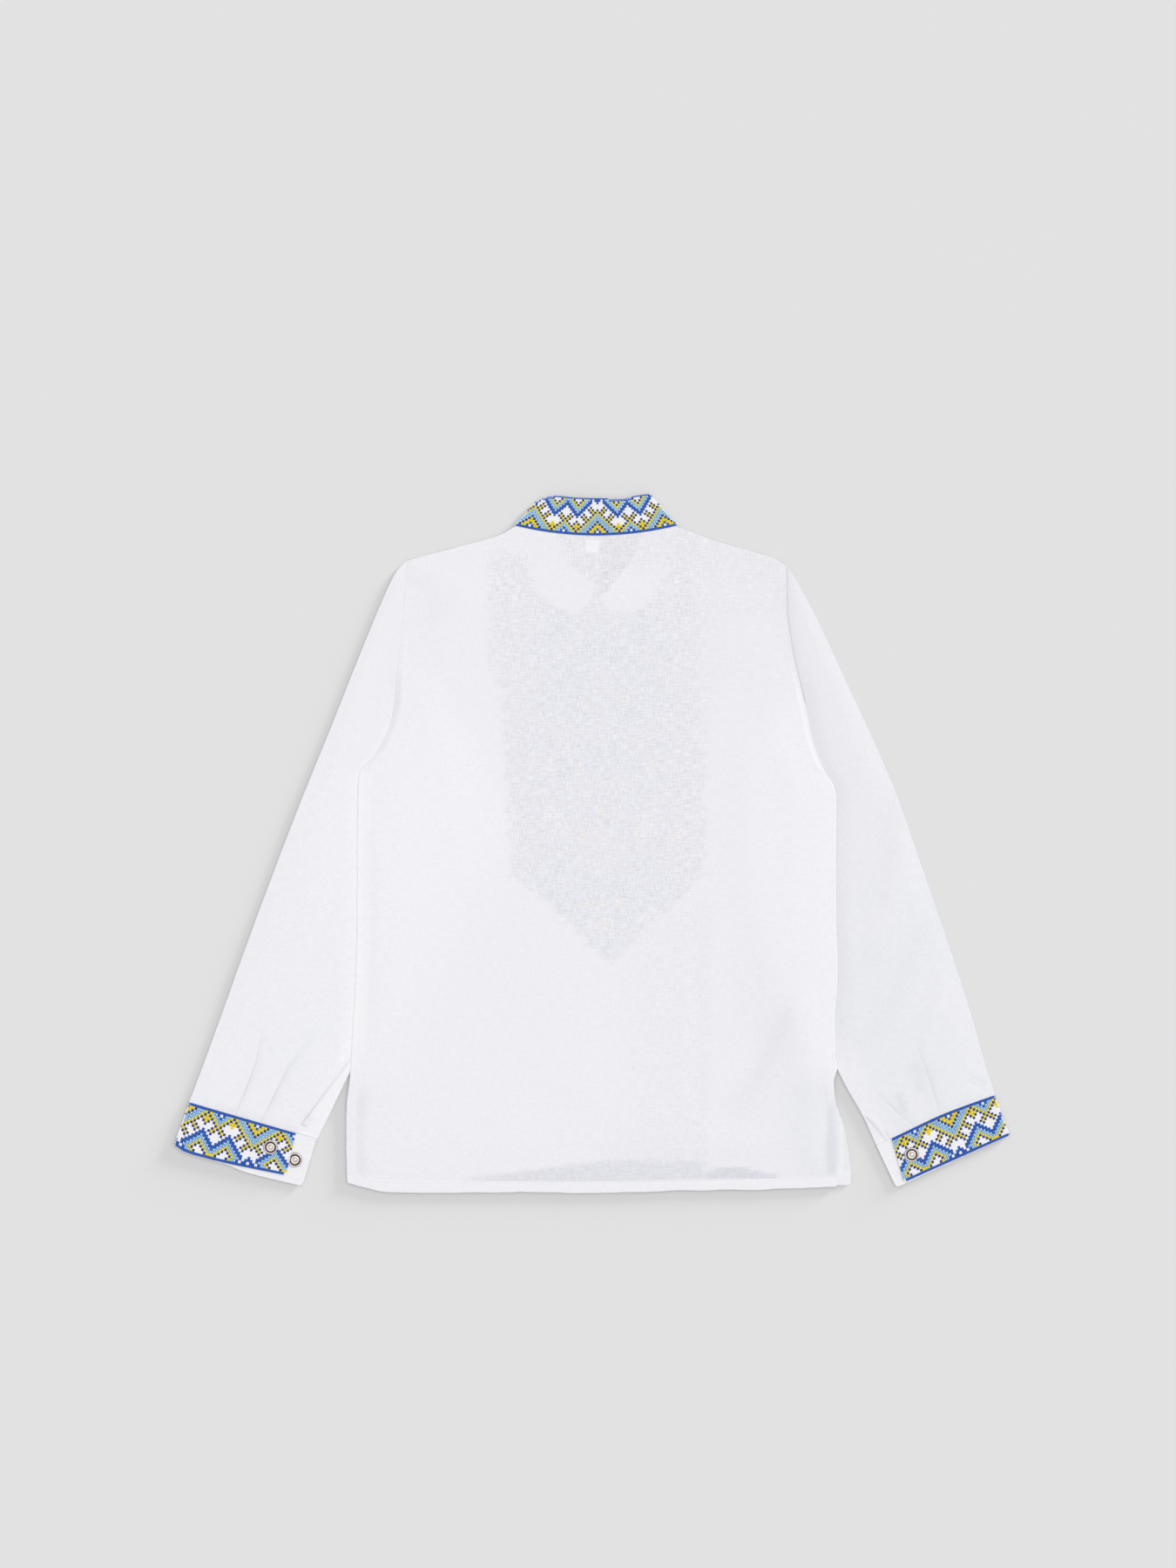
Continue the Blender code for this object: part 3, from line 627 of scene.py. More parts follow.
def metal_finish(name, colour, roughness, metallic):
    """Plated steel with fine turning marks and a slight tarnish."""
    f = Finish(name, roughness)
    place = f.place()
    marks = f.noise(place, (900.0, 900.0, 4000.0), 3.0)
    tarnish = f.noise(place, (420.0, 420.0, 420.0))
    f.colour(linear(colour), f.total(f.times(tarnish, 0.3), 0.85))
    f.relief(marks, 0.15, 0.00005)
    f.link(f.total(f.times(marks, 0.16), roughness - 0.08), f.shader.inputs["Roughness"])
    f.shader.inputs["Metallic"].default_value = metallic
    return f.made


def floor_finish():
    """Smooth matte board with the faintest mottling."""
    f = Finish("floor", 0.9, 0.1)
    level = f.total(f.times(f.noise(f.place(), (9.0, 9.0, 9.0)), 0.006), FLOOR_ALBEDO - 0.003)
    colour = f.nodes.new("ShaderNodeCombineColor")
    for socket in ("Red", "Green", "Blue"):
        f.link(level, colour.inputs[socket])
    f.link(colour.outputs[0], f.shader.inputs["Base Color"])
    return f.made


linen = linen_finish("linen", 1.1, 0.35)
band_linen = linen_finish("band_linen", 1.05, 0.4)
tape = thread_finish("label_tape", (246, 245, 249), 0.7)
threads = {key: thread_finish("thread_" + key, THREADS[key]) for key in THREADS}
shaded_gap_threads = {key: thread_finish("shaded_gap_thread_" + key, SHADED_GAP_THREADS[key], 0.8) for key in SHADED_GAP_THREADS}


# Tones of the back: what lies under the thin cloth shows through it, and painted light and shade lie over it

# Sides of the chest embroidery: rows of (y, x), and its warm spots: (x, y)
CHEST_LEFT = [(-102.5, 16.7), (-35.9, -53.7), (-28.5, -68.5), (48.5, -71.4), (72.9, -74.0), (124.7, -76.0),
              (154.3, -86.2), (243, -86.2)]
CHEST_RIGHT = [(-102.5, 16.7), (-43.3, 76.6), (-28.5, 94.4), (154, 97), (243, 99)]
SPOTS = [(-4.8, 119.5), (27.8, 124.7), (-12.2, 65.5), (7.8, 26.3), (-7, 7), (7.8, 7), (72.2, 7),
         (-4.8, -50.7), (7.8, -50.7), (22.6, -50.7), (10, -69.9)]
SPOT_RUN = 3.873

# Top of the part of the back that has no front panel under it, above the hem band: rows of (x, y)
LENS_TOP = [(-122.5, -284.5), (-89.5, -281.3), (-68.4, -279.1), (-47.2, -277.1), (-31.4, -275.2), (-10.2, -271.2),
            (10.9, -269), (96.0, -268.8), (98.7, -273.9), (129.9, -276), (156.3, -281.8), (163, -285)]

# Collar's front halves where they show through the back: inner and outer edge as rows of (y, x), width over which
# the outer edge is soft low down and high up, height where it starts to soften, and how far they fade high up
GHOSTS = {-1: ([(195.6, -12.8), (206.5, -3.0), (221.4, 3.0), (232.7, -14.0), (245.7, -23.3), (261.0, -29.7)],
               [(195.6, -14.4), (202.2, -34), (215.3, -46), (230.5, -52.5), (247.9, -56.9), (261.0, -56)],
               5.0, 14.0, 214, 0.0),
          1: ([(195.7, 29.1), (198.9, 13.8), (207.6, 7.3), (226.1, 22.6), (239.2, 32.2), (261.0, 42.2)],
              [(195.7, 29.1), (200.0, 42.2), (210.9, 52.9), (226.1, 61.8), (243.5, 68.3), (261.0, 70)],
              9.0, 22.0, 210, 0.6)}


def chest_tone(tone, sheer, x, y):
    """Chest embroidery on the front panel: its patches repeat on both sides of its middle."""
    teeth = 4.4 * np.abs(((y / 9.5) % 1.0) - 0.5) * 2 + 3.0 * noise(x, y, 6.0, 11) - 1.5
    chest = (step(x - line(CHEST_LEFT, y) + teeth, mix(6.0, 15.0, ramp(y - 50, 90)))
             * step(line(CHEST_RIGHT, y) + teeth - x, mix(8.0, 40.0, ramp(y - 40, 120))) * ramp(y + 104, 4)
             * (1.0 - 0.85 * ramp(y - 238, 16) * ramp(-40 - x, 10)))
    inner = chest * ramp(x + 60, 14) * ramp(76 - x, 14) * ramp(210 - y, 24)
    aside = np.abs(x - 8.0)
    lattice = np.sin(2 * np.pi * (aside + y) / 27.0) * np.sin(2 * np.pi * (aside - y) / 27.0)
    patches = 0.9 * noise(aside, y, 14.0, 17) + 0.3 * noise(x, y, 6.0, 18) + 0.3 * lattice
    motif = 0.6 * lattice + 0.6 * noise(aside, y, 7.0, 19) + 0.2 * noise(x, y, 3.0, 20)
    tone = blend(tone, ((233.2, 232.6, 238.0), chest), ((230.2, 231.4, 238.2), inner * ease(0.5 + 0.6 * patches)))
    tone = lifted(tone, 0.009 * motif * chest)
    pale = inner * ramp(noise(aside + 7.0, y, 12.0, 27) - 0.35, 0.3) * ramp(110 - y, 40)
    tone = blend(tone, ((236.6, 235.8, 240.2), 0.6 * pale),
                 *(((240.0, 233.4, 230.6), 0.7 * bell(x - spot_x, SPOT_RUN) * bell(y - spot_y, SPOT_RUN))
                   for spot_x, spot_y in SPOTS))
    return tone, np.maximum(sheer, mix(0.8, 1.0, ease(0.5 + patches)) * chest)


def neck_tone(tone, sheer, x, y):
    """Collar's front halves, the single layer between them, and the label."""
    wander = 0.8 * noise(x, y, 6.0, 25)
    over_collar = np.zeros_like(x)
    open_neck = ramp(y - 204, 8)
    for side, (inner, outer, soft_low, soft_high, soft_y, fading) in GHOSTS.items():
        inside = side * (x - line(inner, y))
        within = side * (line(outer, y) - x) + wander
        shape = (step(inside + wander, 2.5) * step(within, mix(soft_low, soft_high, ramp(y - soft_y, 30)))
                 * ramp(y - 194, 5) * (1.0 - fading * ramp(y - 226, 18)))
        over_collar = np.maximum(over_collar, shape)
        open_neck = open_neck * step(-inside, 3.0)
    label = ramp(6.3 - np.abs(x - 0.8), 1.0) * ramp(6.6 - np.abs(y - 253.0), 1.0)
    neck_colour = mix(np.array((233.4, 232.6, 237.6)), np.array((230.0, 229.3, 234.8)), ramp(x + 8, 22)[..., None])
    tone = blend(tone, (neck_colour, open_neck), ((238.0, 237.1, 242.0), over_collar), ((243.0, 242.4, 246.2), label))
    for share, there in ((open_neck, 1.0), (over_collar, 0.15), (label, 0.1)):
        sheer = mix(sheer, there, share)
    return tone, sheer


def back_tone(x, y):
    """Colour of the back panel and how sheer it looks there."""
    # Broad painted light and shade: lighter to the left, darker to the upper right, at the lower right and low in the
    # middle
    low_middle = bell(np.minimum(x - 66, 0.0), 44) * ramp(99 - x, 4) * ramp(-225 - y, 40)
    low_right = ramp(x - 92, 20) * ramp(-60 - y, 60) * ramp(226 - x, 60)
    tone = blend(plain(LINEN, x),
                 ((244.4, 243.6, 248.4), 0.8 * bell(x + 160, 70) * bell(y - 20, 90)),
                 ((242.6, 241.8, 246.8), 0.5 * bell(x + 166 - 0.22 * (y + 60), 34) * ramp(70 - y, 50)
                  * ramp(y + 270, 130)),
                 ((236, 235.4, 240), 0.65 * ramp(x - 60, 90) * ramp(y + 60, 60) * ramp(y - 90, 60)),
                 ((236.8, 236.8, 241.2), 0.8 * low_right * (0.8 + 0.4 * noise(x, y, 30.0, 8))),
                 ((233.0, 234.2, 239.2), 0.75 * low_middle))
    tone = shaded(tone, x, y, BACK_SHADES, 110)
    shoulder = ramp(x - 92, 14) * ramp(168 - x, 10) * ramp(y - 178, 30)
    speckled = ramp(x - 2, 60) * ramp(106 - x, 9) * ramp(-20 - y, 50)
    tone = blend(tone, ((241.5, 240.6, 245.6), 0.6 * ramp(28.0 - near_tuck(x, y), 26)),
                 ((234.8, 234.2, 238.9), 0.85 * shoulder), ((235.6, 235.0, 239.8), 0.55 * speckled))
    sheer = np.maximum(0.12 + 0.06 * noise(x, y, 40.0, 5), np.maximum(0.42 * shoulder, 0.34 * speckled))
    tone, sheer = chest_tone(tone, sheer, x, y)
    tone, sheer = neck_tone(tone, sheer, x, y)
    # Seam allowances along the sides, a darker strip at the left vent, a darker lower right corner, and painted shade
    # along the right edge at the vent
    from_left, from_right = x - edge_x(LEFT_EDGE, y), edge_x(RIGHT_EDGE, y) - x
    left_strip = bell(from_left - 13.0, 4.2) * ramp(-200 - y, 24) * ramp(y + 287, 5)
    # Painted shade along the right edge at the vent
    right_strip = (bell(np.maximum(from_right - 4.0, 0.0), mix(1.8, 6.0, ramp(-212 - y, 56)))
                   * bell(np.minimum(from_right - 3.2, 0.0), 3.2) * ramp(-214 - y, 14) * ramp(y + 284, 5)
                   * mix(0.7, 1.0, ramp(-232 - y, 30)))
    tone = blend(tone,
                 ((244.6, 244.4, 248.0), ramp(13.0 - from_left, 3) * ramp(70 - y, 14) * ramp(y + 205, 50)),
                 ((241.0, 240.4, 245.0), 0.6 * ramp(11.0 - from_right, 3) * ramp(70 - y, 14) * ramp(y + 190, 40)),
                 ((228.5, 229.6, 235.0), 0.8 * left_strip * (0.8 + 0.3 * noise(x, y, 14.0, 23))),
                 ((233.4, 234.2, 238.8), 0.8 * ramp(34.0 - from_right, 16) * ramp(-228 - y, 24)),
                 ((220.5, 223.4, 229.6), 0.95 * right_strip * (0.88 + 0.2 * noise(x, y, 12.0, 29))))
    # Where the front hem is shorter, one layer shows over the table, with painted shadow at its right end, and the hem
    # band has more layers
    above_band = y - read(BACK_HEM, np.clip(x, -208, 208)) - 9.5
    below_top = line(LENS_TOP, x) + 0.5 * noise(x, y, 9.0, 26) - y
    lens = step(below_top, 2.6) * ease(above_band / 1.2 + 0.3) * ramp(x + 124, 40) * ramp(163 - x, 9)
    band = ramp(-above_band - 0.2, 1.2)
    tone = blend(tone, ((225.6, 226.2, 232.6), lens * (0.78 + 0.22 * ramp(below_top, 7))),
                 ((219.6, 220.0, 228.2), lens * ramp(x - 97, 3)),
                 ((223.6, 223.6, 230.6), 0.6 * lens * bell(x + 40, 26)),
                 ((239.5, 238.6, 243.4), 0.55 * bell(x - 102, 6.5) * ramp(-60 - y, 60) * ramp(y + 284, 8)),
                 ((240.5, 239.6, 244.6), 0.9 * band))
    return tone, mix(np.maximum(sheer, 0.7 * lens), 0.08, band)


# Body panels

EDGE_MARKS = [0.0, 0.35, 0.8, 1.4, 2.2, 3.2, 4.4, 5.5, 6.2, 6.8, 7.4, 8.2, 9.6, 11.6]
HEM_MARKS = [0.0, 0.35, 0.8, 1.4, 2.4, 3.8, 5.2, 6.6, 7.4, 8.0, 8.6, 9.2, 10.2, 11.8]
TOP_MARKS = [6.0, 3.6, 2.0, 1.1, 0.5, 0.0]


def body_grid(right_edge, hem, panel_neck_y, spacing, lines=()):
    """Grid of a panel, close together at its edges and with lines at the given x of the neck among it: plan
    points, then each point's distance to the nearer side, to the hem and to the top."""
    left_top, right_top = LEFT_EDGE[-1][1], RIGHT_EDGE[-1][1]
    width = right_top - left_top + 44.0
    extra = [(x - left_top) / (right_top - left_top) for x in (NECK_LEFT, NECK_RIGHT, *lines)]
    near = [mark / width for mark in EDGE_MARKS]
    count = int(round((width - 2 * EDGE_MARKS[-1]) / spacing[0]))
    clear = [u for u in np.linspace(near[-1], 1.0 - near[-1], count + 1)[1:-1]
             if min(abs(u - line_u) for line_u in extra) > 0.3 * spacing[0] / width]
    us = np.array(sorted(near + clear + [1.0 - u for u in near] + extra))
    low = [mark / BODY_HEIGHT for mark in HEM_MARKS]
    high = [1.0 - mark / BODY_HEIGHT for mark in TOP_MARKS]
    count = int(round((high[0] - low[-1]) * BODY_HEIGHT / spacing[1]))
    vs = np.array(low + list(np.linspace(low[-1], high[0], count + 1)[1:-1]) + high)
    u, v = np.meshgrid(us, vs)
    left_x = read(LEFT_EDGE, mix(LEFT_EDGE[0][0], LEFT_EDGE[-1][0], v))
    right_x = read(right_edge, mix(right_edge[0][0], right_edge[-1][0], v))
    x = mix(left_x, right_x, u)
    y = mix(read(hem, mix(hem[0][0], hem[-1][0], u)), top_y(mix(left_top, right_edge[-1][1], u), panel_neck_y), v)
    side = np.minimum(u, 1.0 - u) * (edge_x(right_edge, y) - edge_x(LEFT_EDGE, y))
    return x, y, side, v * BODY_HEIGHT, (1.0 - v) * BODY_HEIGHT


def add_back():
    x, y, side, low, high = body_grid(RIGHT_EDGE, BACK_HEM, back_neck_y, (2.7, 2.75))
    rise = tuck_rise(x, y)
    free_side = np.where(y > 62.0, EDGE_RUN, side)
    z = rise + back_air(x, y) + mix(EDGE_PAIR, TOP_OF_PAIR, ramp(np.minimum(free_side, low), EDGE_RUN) ** 0.7)
    calm = ramp(side, 30) * ramp(low, 26) * ramp(high, 26)
    z = z + folds_at(x, y, BACK_FOLDS, 40, 3) + calm * uneven(x, y, (0.16, 52.0, 3), (0.09, 23.0, 4))
    z = z + 0.035 * noise(x, y, 9.0, 6) * ramp(side, 10)
    in_vent = step(VENT_FACING - side, 0.8) * step(VENT_HEIGHT - low, 2.0)
    z = z + HEM_EXTRA * np.maximum(step(HEM_HEIGHT - low, 0.8), in_vent)
    vent_line = stitch_row(side - VENT_FACING + 1.2, 0.5, y) * ramp(VENT_HEIGHT - low, 2.0)
    z = z - 0.22 * (stitch_row(low - HEM_HEIGHT + 1.4, 0.55, x) + vent_line)
    z = z - 0.12 * bell(low - 13.0, 2.6) * (0.5 + 0.5 * noise(x, y, 9.0, 7))
    above_vent = ramp(low - VENT_HEIGHT, 6.0)
    z = z + 0.14 * bell(side, 5.0) * above_vent * noise(x, y, 8.0, 9)
    # The edge rolls down to the front, on to the sleeve from the vent to the armhole, and is sewn to it there
    floor_gap = z - rise - FRONT_TOP
    on_left = x < 0
    at_armhole = ramp(y - 56.0, 14.0)
    over_sleeve = above_vent * (1.0 - at_armhole)
    seat = np.where(on_left, sleeve_top(y, -1), sleeve_top(y, 1)) + THIN + SEAT_GAP
    seated = mix(np.minimum(seat, z), z, ease(side / SEAT_RUN + 0.02))
    seated = seated + 0.22 * bell(side - 4.2, 1.6) * ramp(186 - y, 20) * on_left
    side_depth = floor_gap + np.where(on_left, 0.42, 0.1) * over_sleeve
    side_radius = EDGE_RADIUS + np.where(on_left, 2.6, 0.8) * over_sleeve
    in_neck = step(NECK_HALF - np.abs(x - NECK_MIDDLE), 2.0)
    ends = np.maximum(roll(low, EDGE_RADIUS, floor_gap),
                      roll(high, mix(EDGE_RADIUS, 1.3, in_neck), mix(floor_gap, 0.55, in_neck)))
    z = mix(z - roll(side, side_radius, side_depth), seated - roll(side, 0.35, 0.3), at_armhole) - ends
    z = np.maximum(z, FRONT_TOP)
    y = y + 1.3 * in_neck * ease(1.0 - high / 5.0)
    x = x + uneven(x, y, (0.35, 24.0, 12), (0.2, 7.0, 13)) * ease(1.0 - side / 12.0) * (1.0 - at_armhole)
    y = y + uneven(x, y, (0.5, 22.0, 14), (0.2, 8.0, 15)) * ease(1.0 - low / 12.0)
    tone, sheer = back_tone(x, y)
    on_left = x < 0
    # Painted light along the left edge over the sleeve, a painted highlight on the ridge by the left armhole, a lighter
    # line along the neck, painted light on the rims, and painted shade by the right armhole
    from_rim = np.minimum(side + 2.0 * ~on_left * ramp(-208 - y, 8), low)
    rim = np.where(~on_left & (y > -190.0), 0.05, 0.13)
    tone = lifted(tone,
                  on_left * over_sleeve * (0.045 * bell(side, 3.4) + 0.08 * bell(side - 0.5, 1.2)),
                  0.02 * bell(side - 4.4, 1.3) * on_left * at_armhole * ramp(188 - y, 20),
                  0.03 * in_neck * bell(high, 1.8),
                  rim * bell(from_rim, 0.4) * (1.0 - at_armhole),
                  -0.045 * bell(side, 4.5) * ~on_left * at_armhole)
    made = add_cloth("back_cloth", np.stack([x, y, z], axis=-1), grid_faces(*x.shape), "linen", "back_panel",
                     tone, sheer, x, y)
    made.data.flip_normals()


def front_tone(x, y):
    """Colour of the front panel: bleached linen, a little greyer where it lies open at the vents."""
    outside = x - edge_x(RIGHT_EDGE, y)
    above_hem = y - read(FRONT_HEM, np.clip(x, -208, 221)) - HEM_HEIGHT - FLAP_HEM_EXTRA
    beyond = ramp(outside + 1.0, 2.0) * ramp(above_hem, 1.0)
    return blend(plain((238, 238, 242.5), x), ((233.0, 234.4, 238.8), beyond),
                 ((240.5, 240.8, 244.6), 0.8 * bell(outside - 4.2, 2.2) * beyond))


def add_front():
    slit = [NECK_MIDDLE + shift for shift in (-6.5, -SLIT_HALF, SLIT_HALF, 6.5)]
    x, y, side, low, high = body_grid(FRONT_RIGHT_EDGE, FRONT_HEM, front_neck_y, (3.6, 3.6), slit)
    z = tuck_rise(x, y) + LIFT_OFF + roll(np.minimum(side, np.minimum(low, high)), 0.12)
    inset = FRONT_INSET * (ramp(y + 192, 20) + 0.8 * ramp(y - 50, 12) * ramp(150 - y, 20))
    x = x + inset * ease(1.0 - side / 12.0) * np.where(x < 0, 1.0, -1.0)
    flap = ramp(x - edge_x(RIGHT_EDGE, y), 0.8)
    above_hem = low - HEM_HEIGHT - FLAP_HEM_EXTRA * flap
    z = z + 0.12 * stitch_row(above_hem + 1.4, 0.55, x)
    x = x - rounding(low, FLAP_CORNER) * ease(1.0 - side / 8.0) * (x > 0)
    z = z + 0.35 * flap * step(-above_hem, 0.8)
    z = z + 0.12 * bell(np.abs(x - NECK_MIDDLE) - 6.0, 0.8) * ramp(y - 50, 2)
    middle_x, middle_y = (0.25 * (a[:-1, :-1] + a[1:, :-1] + a[:-1, 1:] + a[1:, 1:]) for a in (x, y))
    in_slit = (np.abs(middle_x - NECK_MIDDLE) < SLIT_HALF) & (middle_y > NECK_TOP - FRONT_NECK_DROP - SLIT_LENGTH)
    made = add_cloth("front_cloth", np.stack([x, y, z], axis=-1), grid_faces(*x.shape, keep=~in_slit), "linen",
                     "front_panel", front_tone(x, y), 0.12, x, y)


# Sleeves

def pleat_relief(distance, up):
    """Crease with a lip on its left that falls off sharply, and cloth that climbs again slowly on its right."""
    lip = bell(np.minimum(distance, 0.0), 5.0) * step(-distance, 0.7)
    valley = fade(distance, 5.0) * step(distance, 0.7)
    return ramp(1.0 - up, 0.75) * PLEAT_DEPTH * (0.45 * lip - 0.55 * valley)


def pleat_shade(distance, up):
    """How much of the light a crease keeps off the cloth in and beside it."""
    fading = ramp(1.0 - up, 0.6) * (0.55 + 0.45 * ramp(up + 0.02, 0.25))
    wedge = fade(distance, 3.6) * ease(distance + 0.5)
    return fading * (0.15 * bell(distance - 0.2, 0.7) + 0.055 * wedge - 0.02 * bell(distance + 2.2, 1.3))


def sleeve_tone(side, x, y, s, w):
    """Colour of a sleeve: cooler and a little darker towards the cuff, with painted light beside the body's left edge
    and painted shadow beside its right edge and at the right armhole.
    """
    if side < 0:
        tone = blend(plain((240.4, 239.5, 244.4), x),
                     ((238.2, 238.6, 243.2), ramp(s - 0.45, 0.45) * (0.75 + 0.5 * noise(x, y, 34.0, 31))),
                     ((243.0, 242.4, 247.0), 0.8 * ramp(w - 0.80, 0.14) * ramp(s - 0.70, 0.14)))
        # Painted light beside the body's edge
        return lifted(tone, 0.06 * fade(edge_x(LEFT_EDGE, y) - x, 1.6) * ramp(118 - y, 20))
    # On the right: painted shadow beside the body's edge and at the armhole
    outside = x - edge_x(RIGHT_EDGE, y)
    return blend(plain((237.0, 236.4, 241.2), x),
                 ((233.4, 235.2, 239.6), ramp(s - 0.40, 0.42) * (0.75 + 0.6 * noise(x, y, 30.0, 33))),
                 ((229.5, 229.4, 235.0), 0.8 * fade(outside, 6.5) * ramp(y + 190, 20)),
                 ((225.5, 225.0, 230.6), 0.5 * fade(outside, 3.4) * ramp(y - 70, 30)),
                 ((239.6, 239.0, 244.0), 0.85 * ramp(w - 0.80, 0.12) * ramp(s - 0.76, 0.10)))


def fold_arc(edge, beside, top):
    """Rounded fold: points from the lower layer's edge up towards the upper layer, away from the cloth beside it."""
    reach = edge - beside
    reach = reach / np.linalg.norm(reach, axis=1)[:, None]
    turn = math.pi * np.arange(1, 6) / 6
    radius = (0.5 * top - 0.5 * LIFT_OFF)[:, None]
    flat = edge[:, None] + reach[:, None] * (np.sin(turn) * radius)[..., None]
    return np.dstack([flat, LIFT_OFF + radius * (1.0 - np.cos(turn))])


def add_sleeve(name, sleeve):
    rows, side, corners = sleeve["rows"], sleeve["side"], sleeve["cuff"]
    s_line = np.concatenate([[0.0, 0.0015, 0.0035, 0.006], np.linspace(0.01, 0.70, 88, endpoint=False),
                             np.linspace(0.70, 0.99, 108, endpoint=False), [0.99, 0.993, 0.996, 0.9985, 1.0, 1.0022]])
    s, w = np.meshgrid(s_line, np.linspace(0.0, 1.0, 118), indexing="ij")
    x, y = sleeve_point(sleeve, s, w)
    width = np.hypot(read(rows, s, 1) - read(rows, s, 3), read(rows, s, 2) - read(rows, s, 4))
    outside = side * (x - edge_x(sleeve["edge"], y))
    free = ramp(outside - SLEEVE_PUFF_CLEAR, PUFF_RUN)
    pair = mix(SLEEVE_FOLD, TOP_OF_PAIR, ramp(np.minimum(w, 1.0 - w) * width, SLEEVE_RUN) ** 0.7)
    clear = np.maximum(ramp(outside + 1.0, 14), ramp(y - HEAD_LOW_Y, HEAD_CLIMB))
    z = mix(TUCKED_TOP, pair, clear) + SLEEVE_PUFF * np.sin(np.pi * w) * np.sin(np.pi * s) * free
    z = np.where(clear > 0, z, np.minimum(z, TUCKED_TOP))
    shade = np.zeros_like(x)
    for pleat in PLEATS[name]:
        distance, up = beside_line(x, y, pleat)
        z = z + pleat_relief(distance, up)
        shade = shade + pleat_shade(distance, up)
    # Slit with its facing beside it
    distance, up = beside_line(x, y, SLITS[name])
    opened = ramp(up + 0.02, 0.04) * ramp(1.02 - up, 0.12)
    z = z + opened * (0.3 * bell(distance - 3.0, 2.4) - 0.45 * bell(distance, 0.8))
    dark = mix(0.26, 0.15, ramp(up, 0.7)) if side < 0 else 0.17
    shade = np.maximum(shade, dark * opened * bell(distance, 0.7))
    shade = np.maximum(shade, 0.04 * opened * fade(-distance, 2.5) * (distance < 0))
    z = z + folds_at(x, y, SLEEVE_FOLDS[name], 80, 5) * free
    z = z + uneven(x, y, (0.13, 40.0, 21), (0.07, 17.0, 22)) * free * np.sin(np.pi * np.minimum(w * 4, 1) / 2)
    z = z + 0.03 * noise(x, y, 8.0, 24)
    # Down into the cuff, less so on the under-lap, and down at the head
    lap = math.dist(corners["fold_seam"], corners["over_seam"]) / math.dist(corners["fold_seam"], corners["under_seam"])
    on_lap = ramp(w - lap, 0.03)
    from_cuff = np.maximum(1.0 - s, 0.0) * SLEEVE_LENGTH
    from_seam = np.maximum(1.0015 - s, 0.0) * SLEEVE_LENGTH
    end_top = mix(CUFF_TOP - BAND_THICK - 0.1, BAND_UNDER + BAND_THICK + 0.1, on_lap)
    z = mix(z, np.minimum(z, end_top), mix(bell(from_seam, 3.6), bell(from_cuff, 9.0), on_lap))
    z = z - HEAD_DROP[side] * bell(s * SLEEVE_LENGTH, HEAD_RUN[side])
    # Painted light at the sleeve's end over the under-lap, then the painted shade of folds, pleats and slit
    tone = lifted(sleeve_tone(side, x, y, s, w), 0.05 * on_lap * bell(from_cuff, 1.4))
    tone = lifted(shaded(tone, x, y, SLEEVE_SHADES[name], 140), -shade)
    under = np.stack(sleeve_point(sleeve, *np.meshgrid(s_line, np.linspace(1.0, 0.0, 30), indexing="ij")), axis=-1)
    arcs = [fold_arc(under[:, 0], under[:, 1], z[:, -1])[:, ::-1], fold_arc(under[:, -1], under[:, -2], z[:, 0])]
    grid = np.concatenate([np.dstack([x, y, z]), arcs[0], np.dstack([under, np.full(under.shape[:2], LIFT_OFF)]),
                           arcs[1]], axis=1)
    tones = [tone, np.repeat(tone[:, -1:], arcs[0].shape[1], axis=1), plain((239.4, 238.6, 243.4), under[..., 0]),
             np.repeat(tone[:, :1], arcs[1].shape[1], axis=1)]
    made = add_cloth(name + "_cloth", grid, grid_faces(*grid.shape[:2], closed=True, turned=side > 0), "linen", name,
                     np.concatenate(tones, axis=1), 0.16, walked(grid[len(s_line) // 2])[None, :],
                     (s_line * 505.0)[:, None])


# Embroidered bands

# Corners of a cell: columns beside its middle and rows above its lower edge
CELL_CORNERS = ((-0.5, 0), (0.5, 0), (0.5, 1), (-0.5, 1))


def chart(column, row, crosses_right):
    """Thread at a cell of the band, or a full stop for bare linen; column 0 is a large triangle's middle."""
    place = (column + BAND_HALF) % (2 * BAND_HALF) - BAND_HALF
    rows = CROSS_ROWS.get(row, BAND[row]) if (place > 0) == crosses_right else BAND[row]
    return rows[min(abs(place), BAND_HALF)]


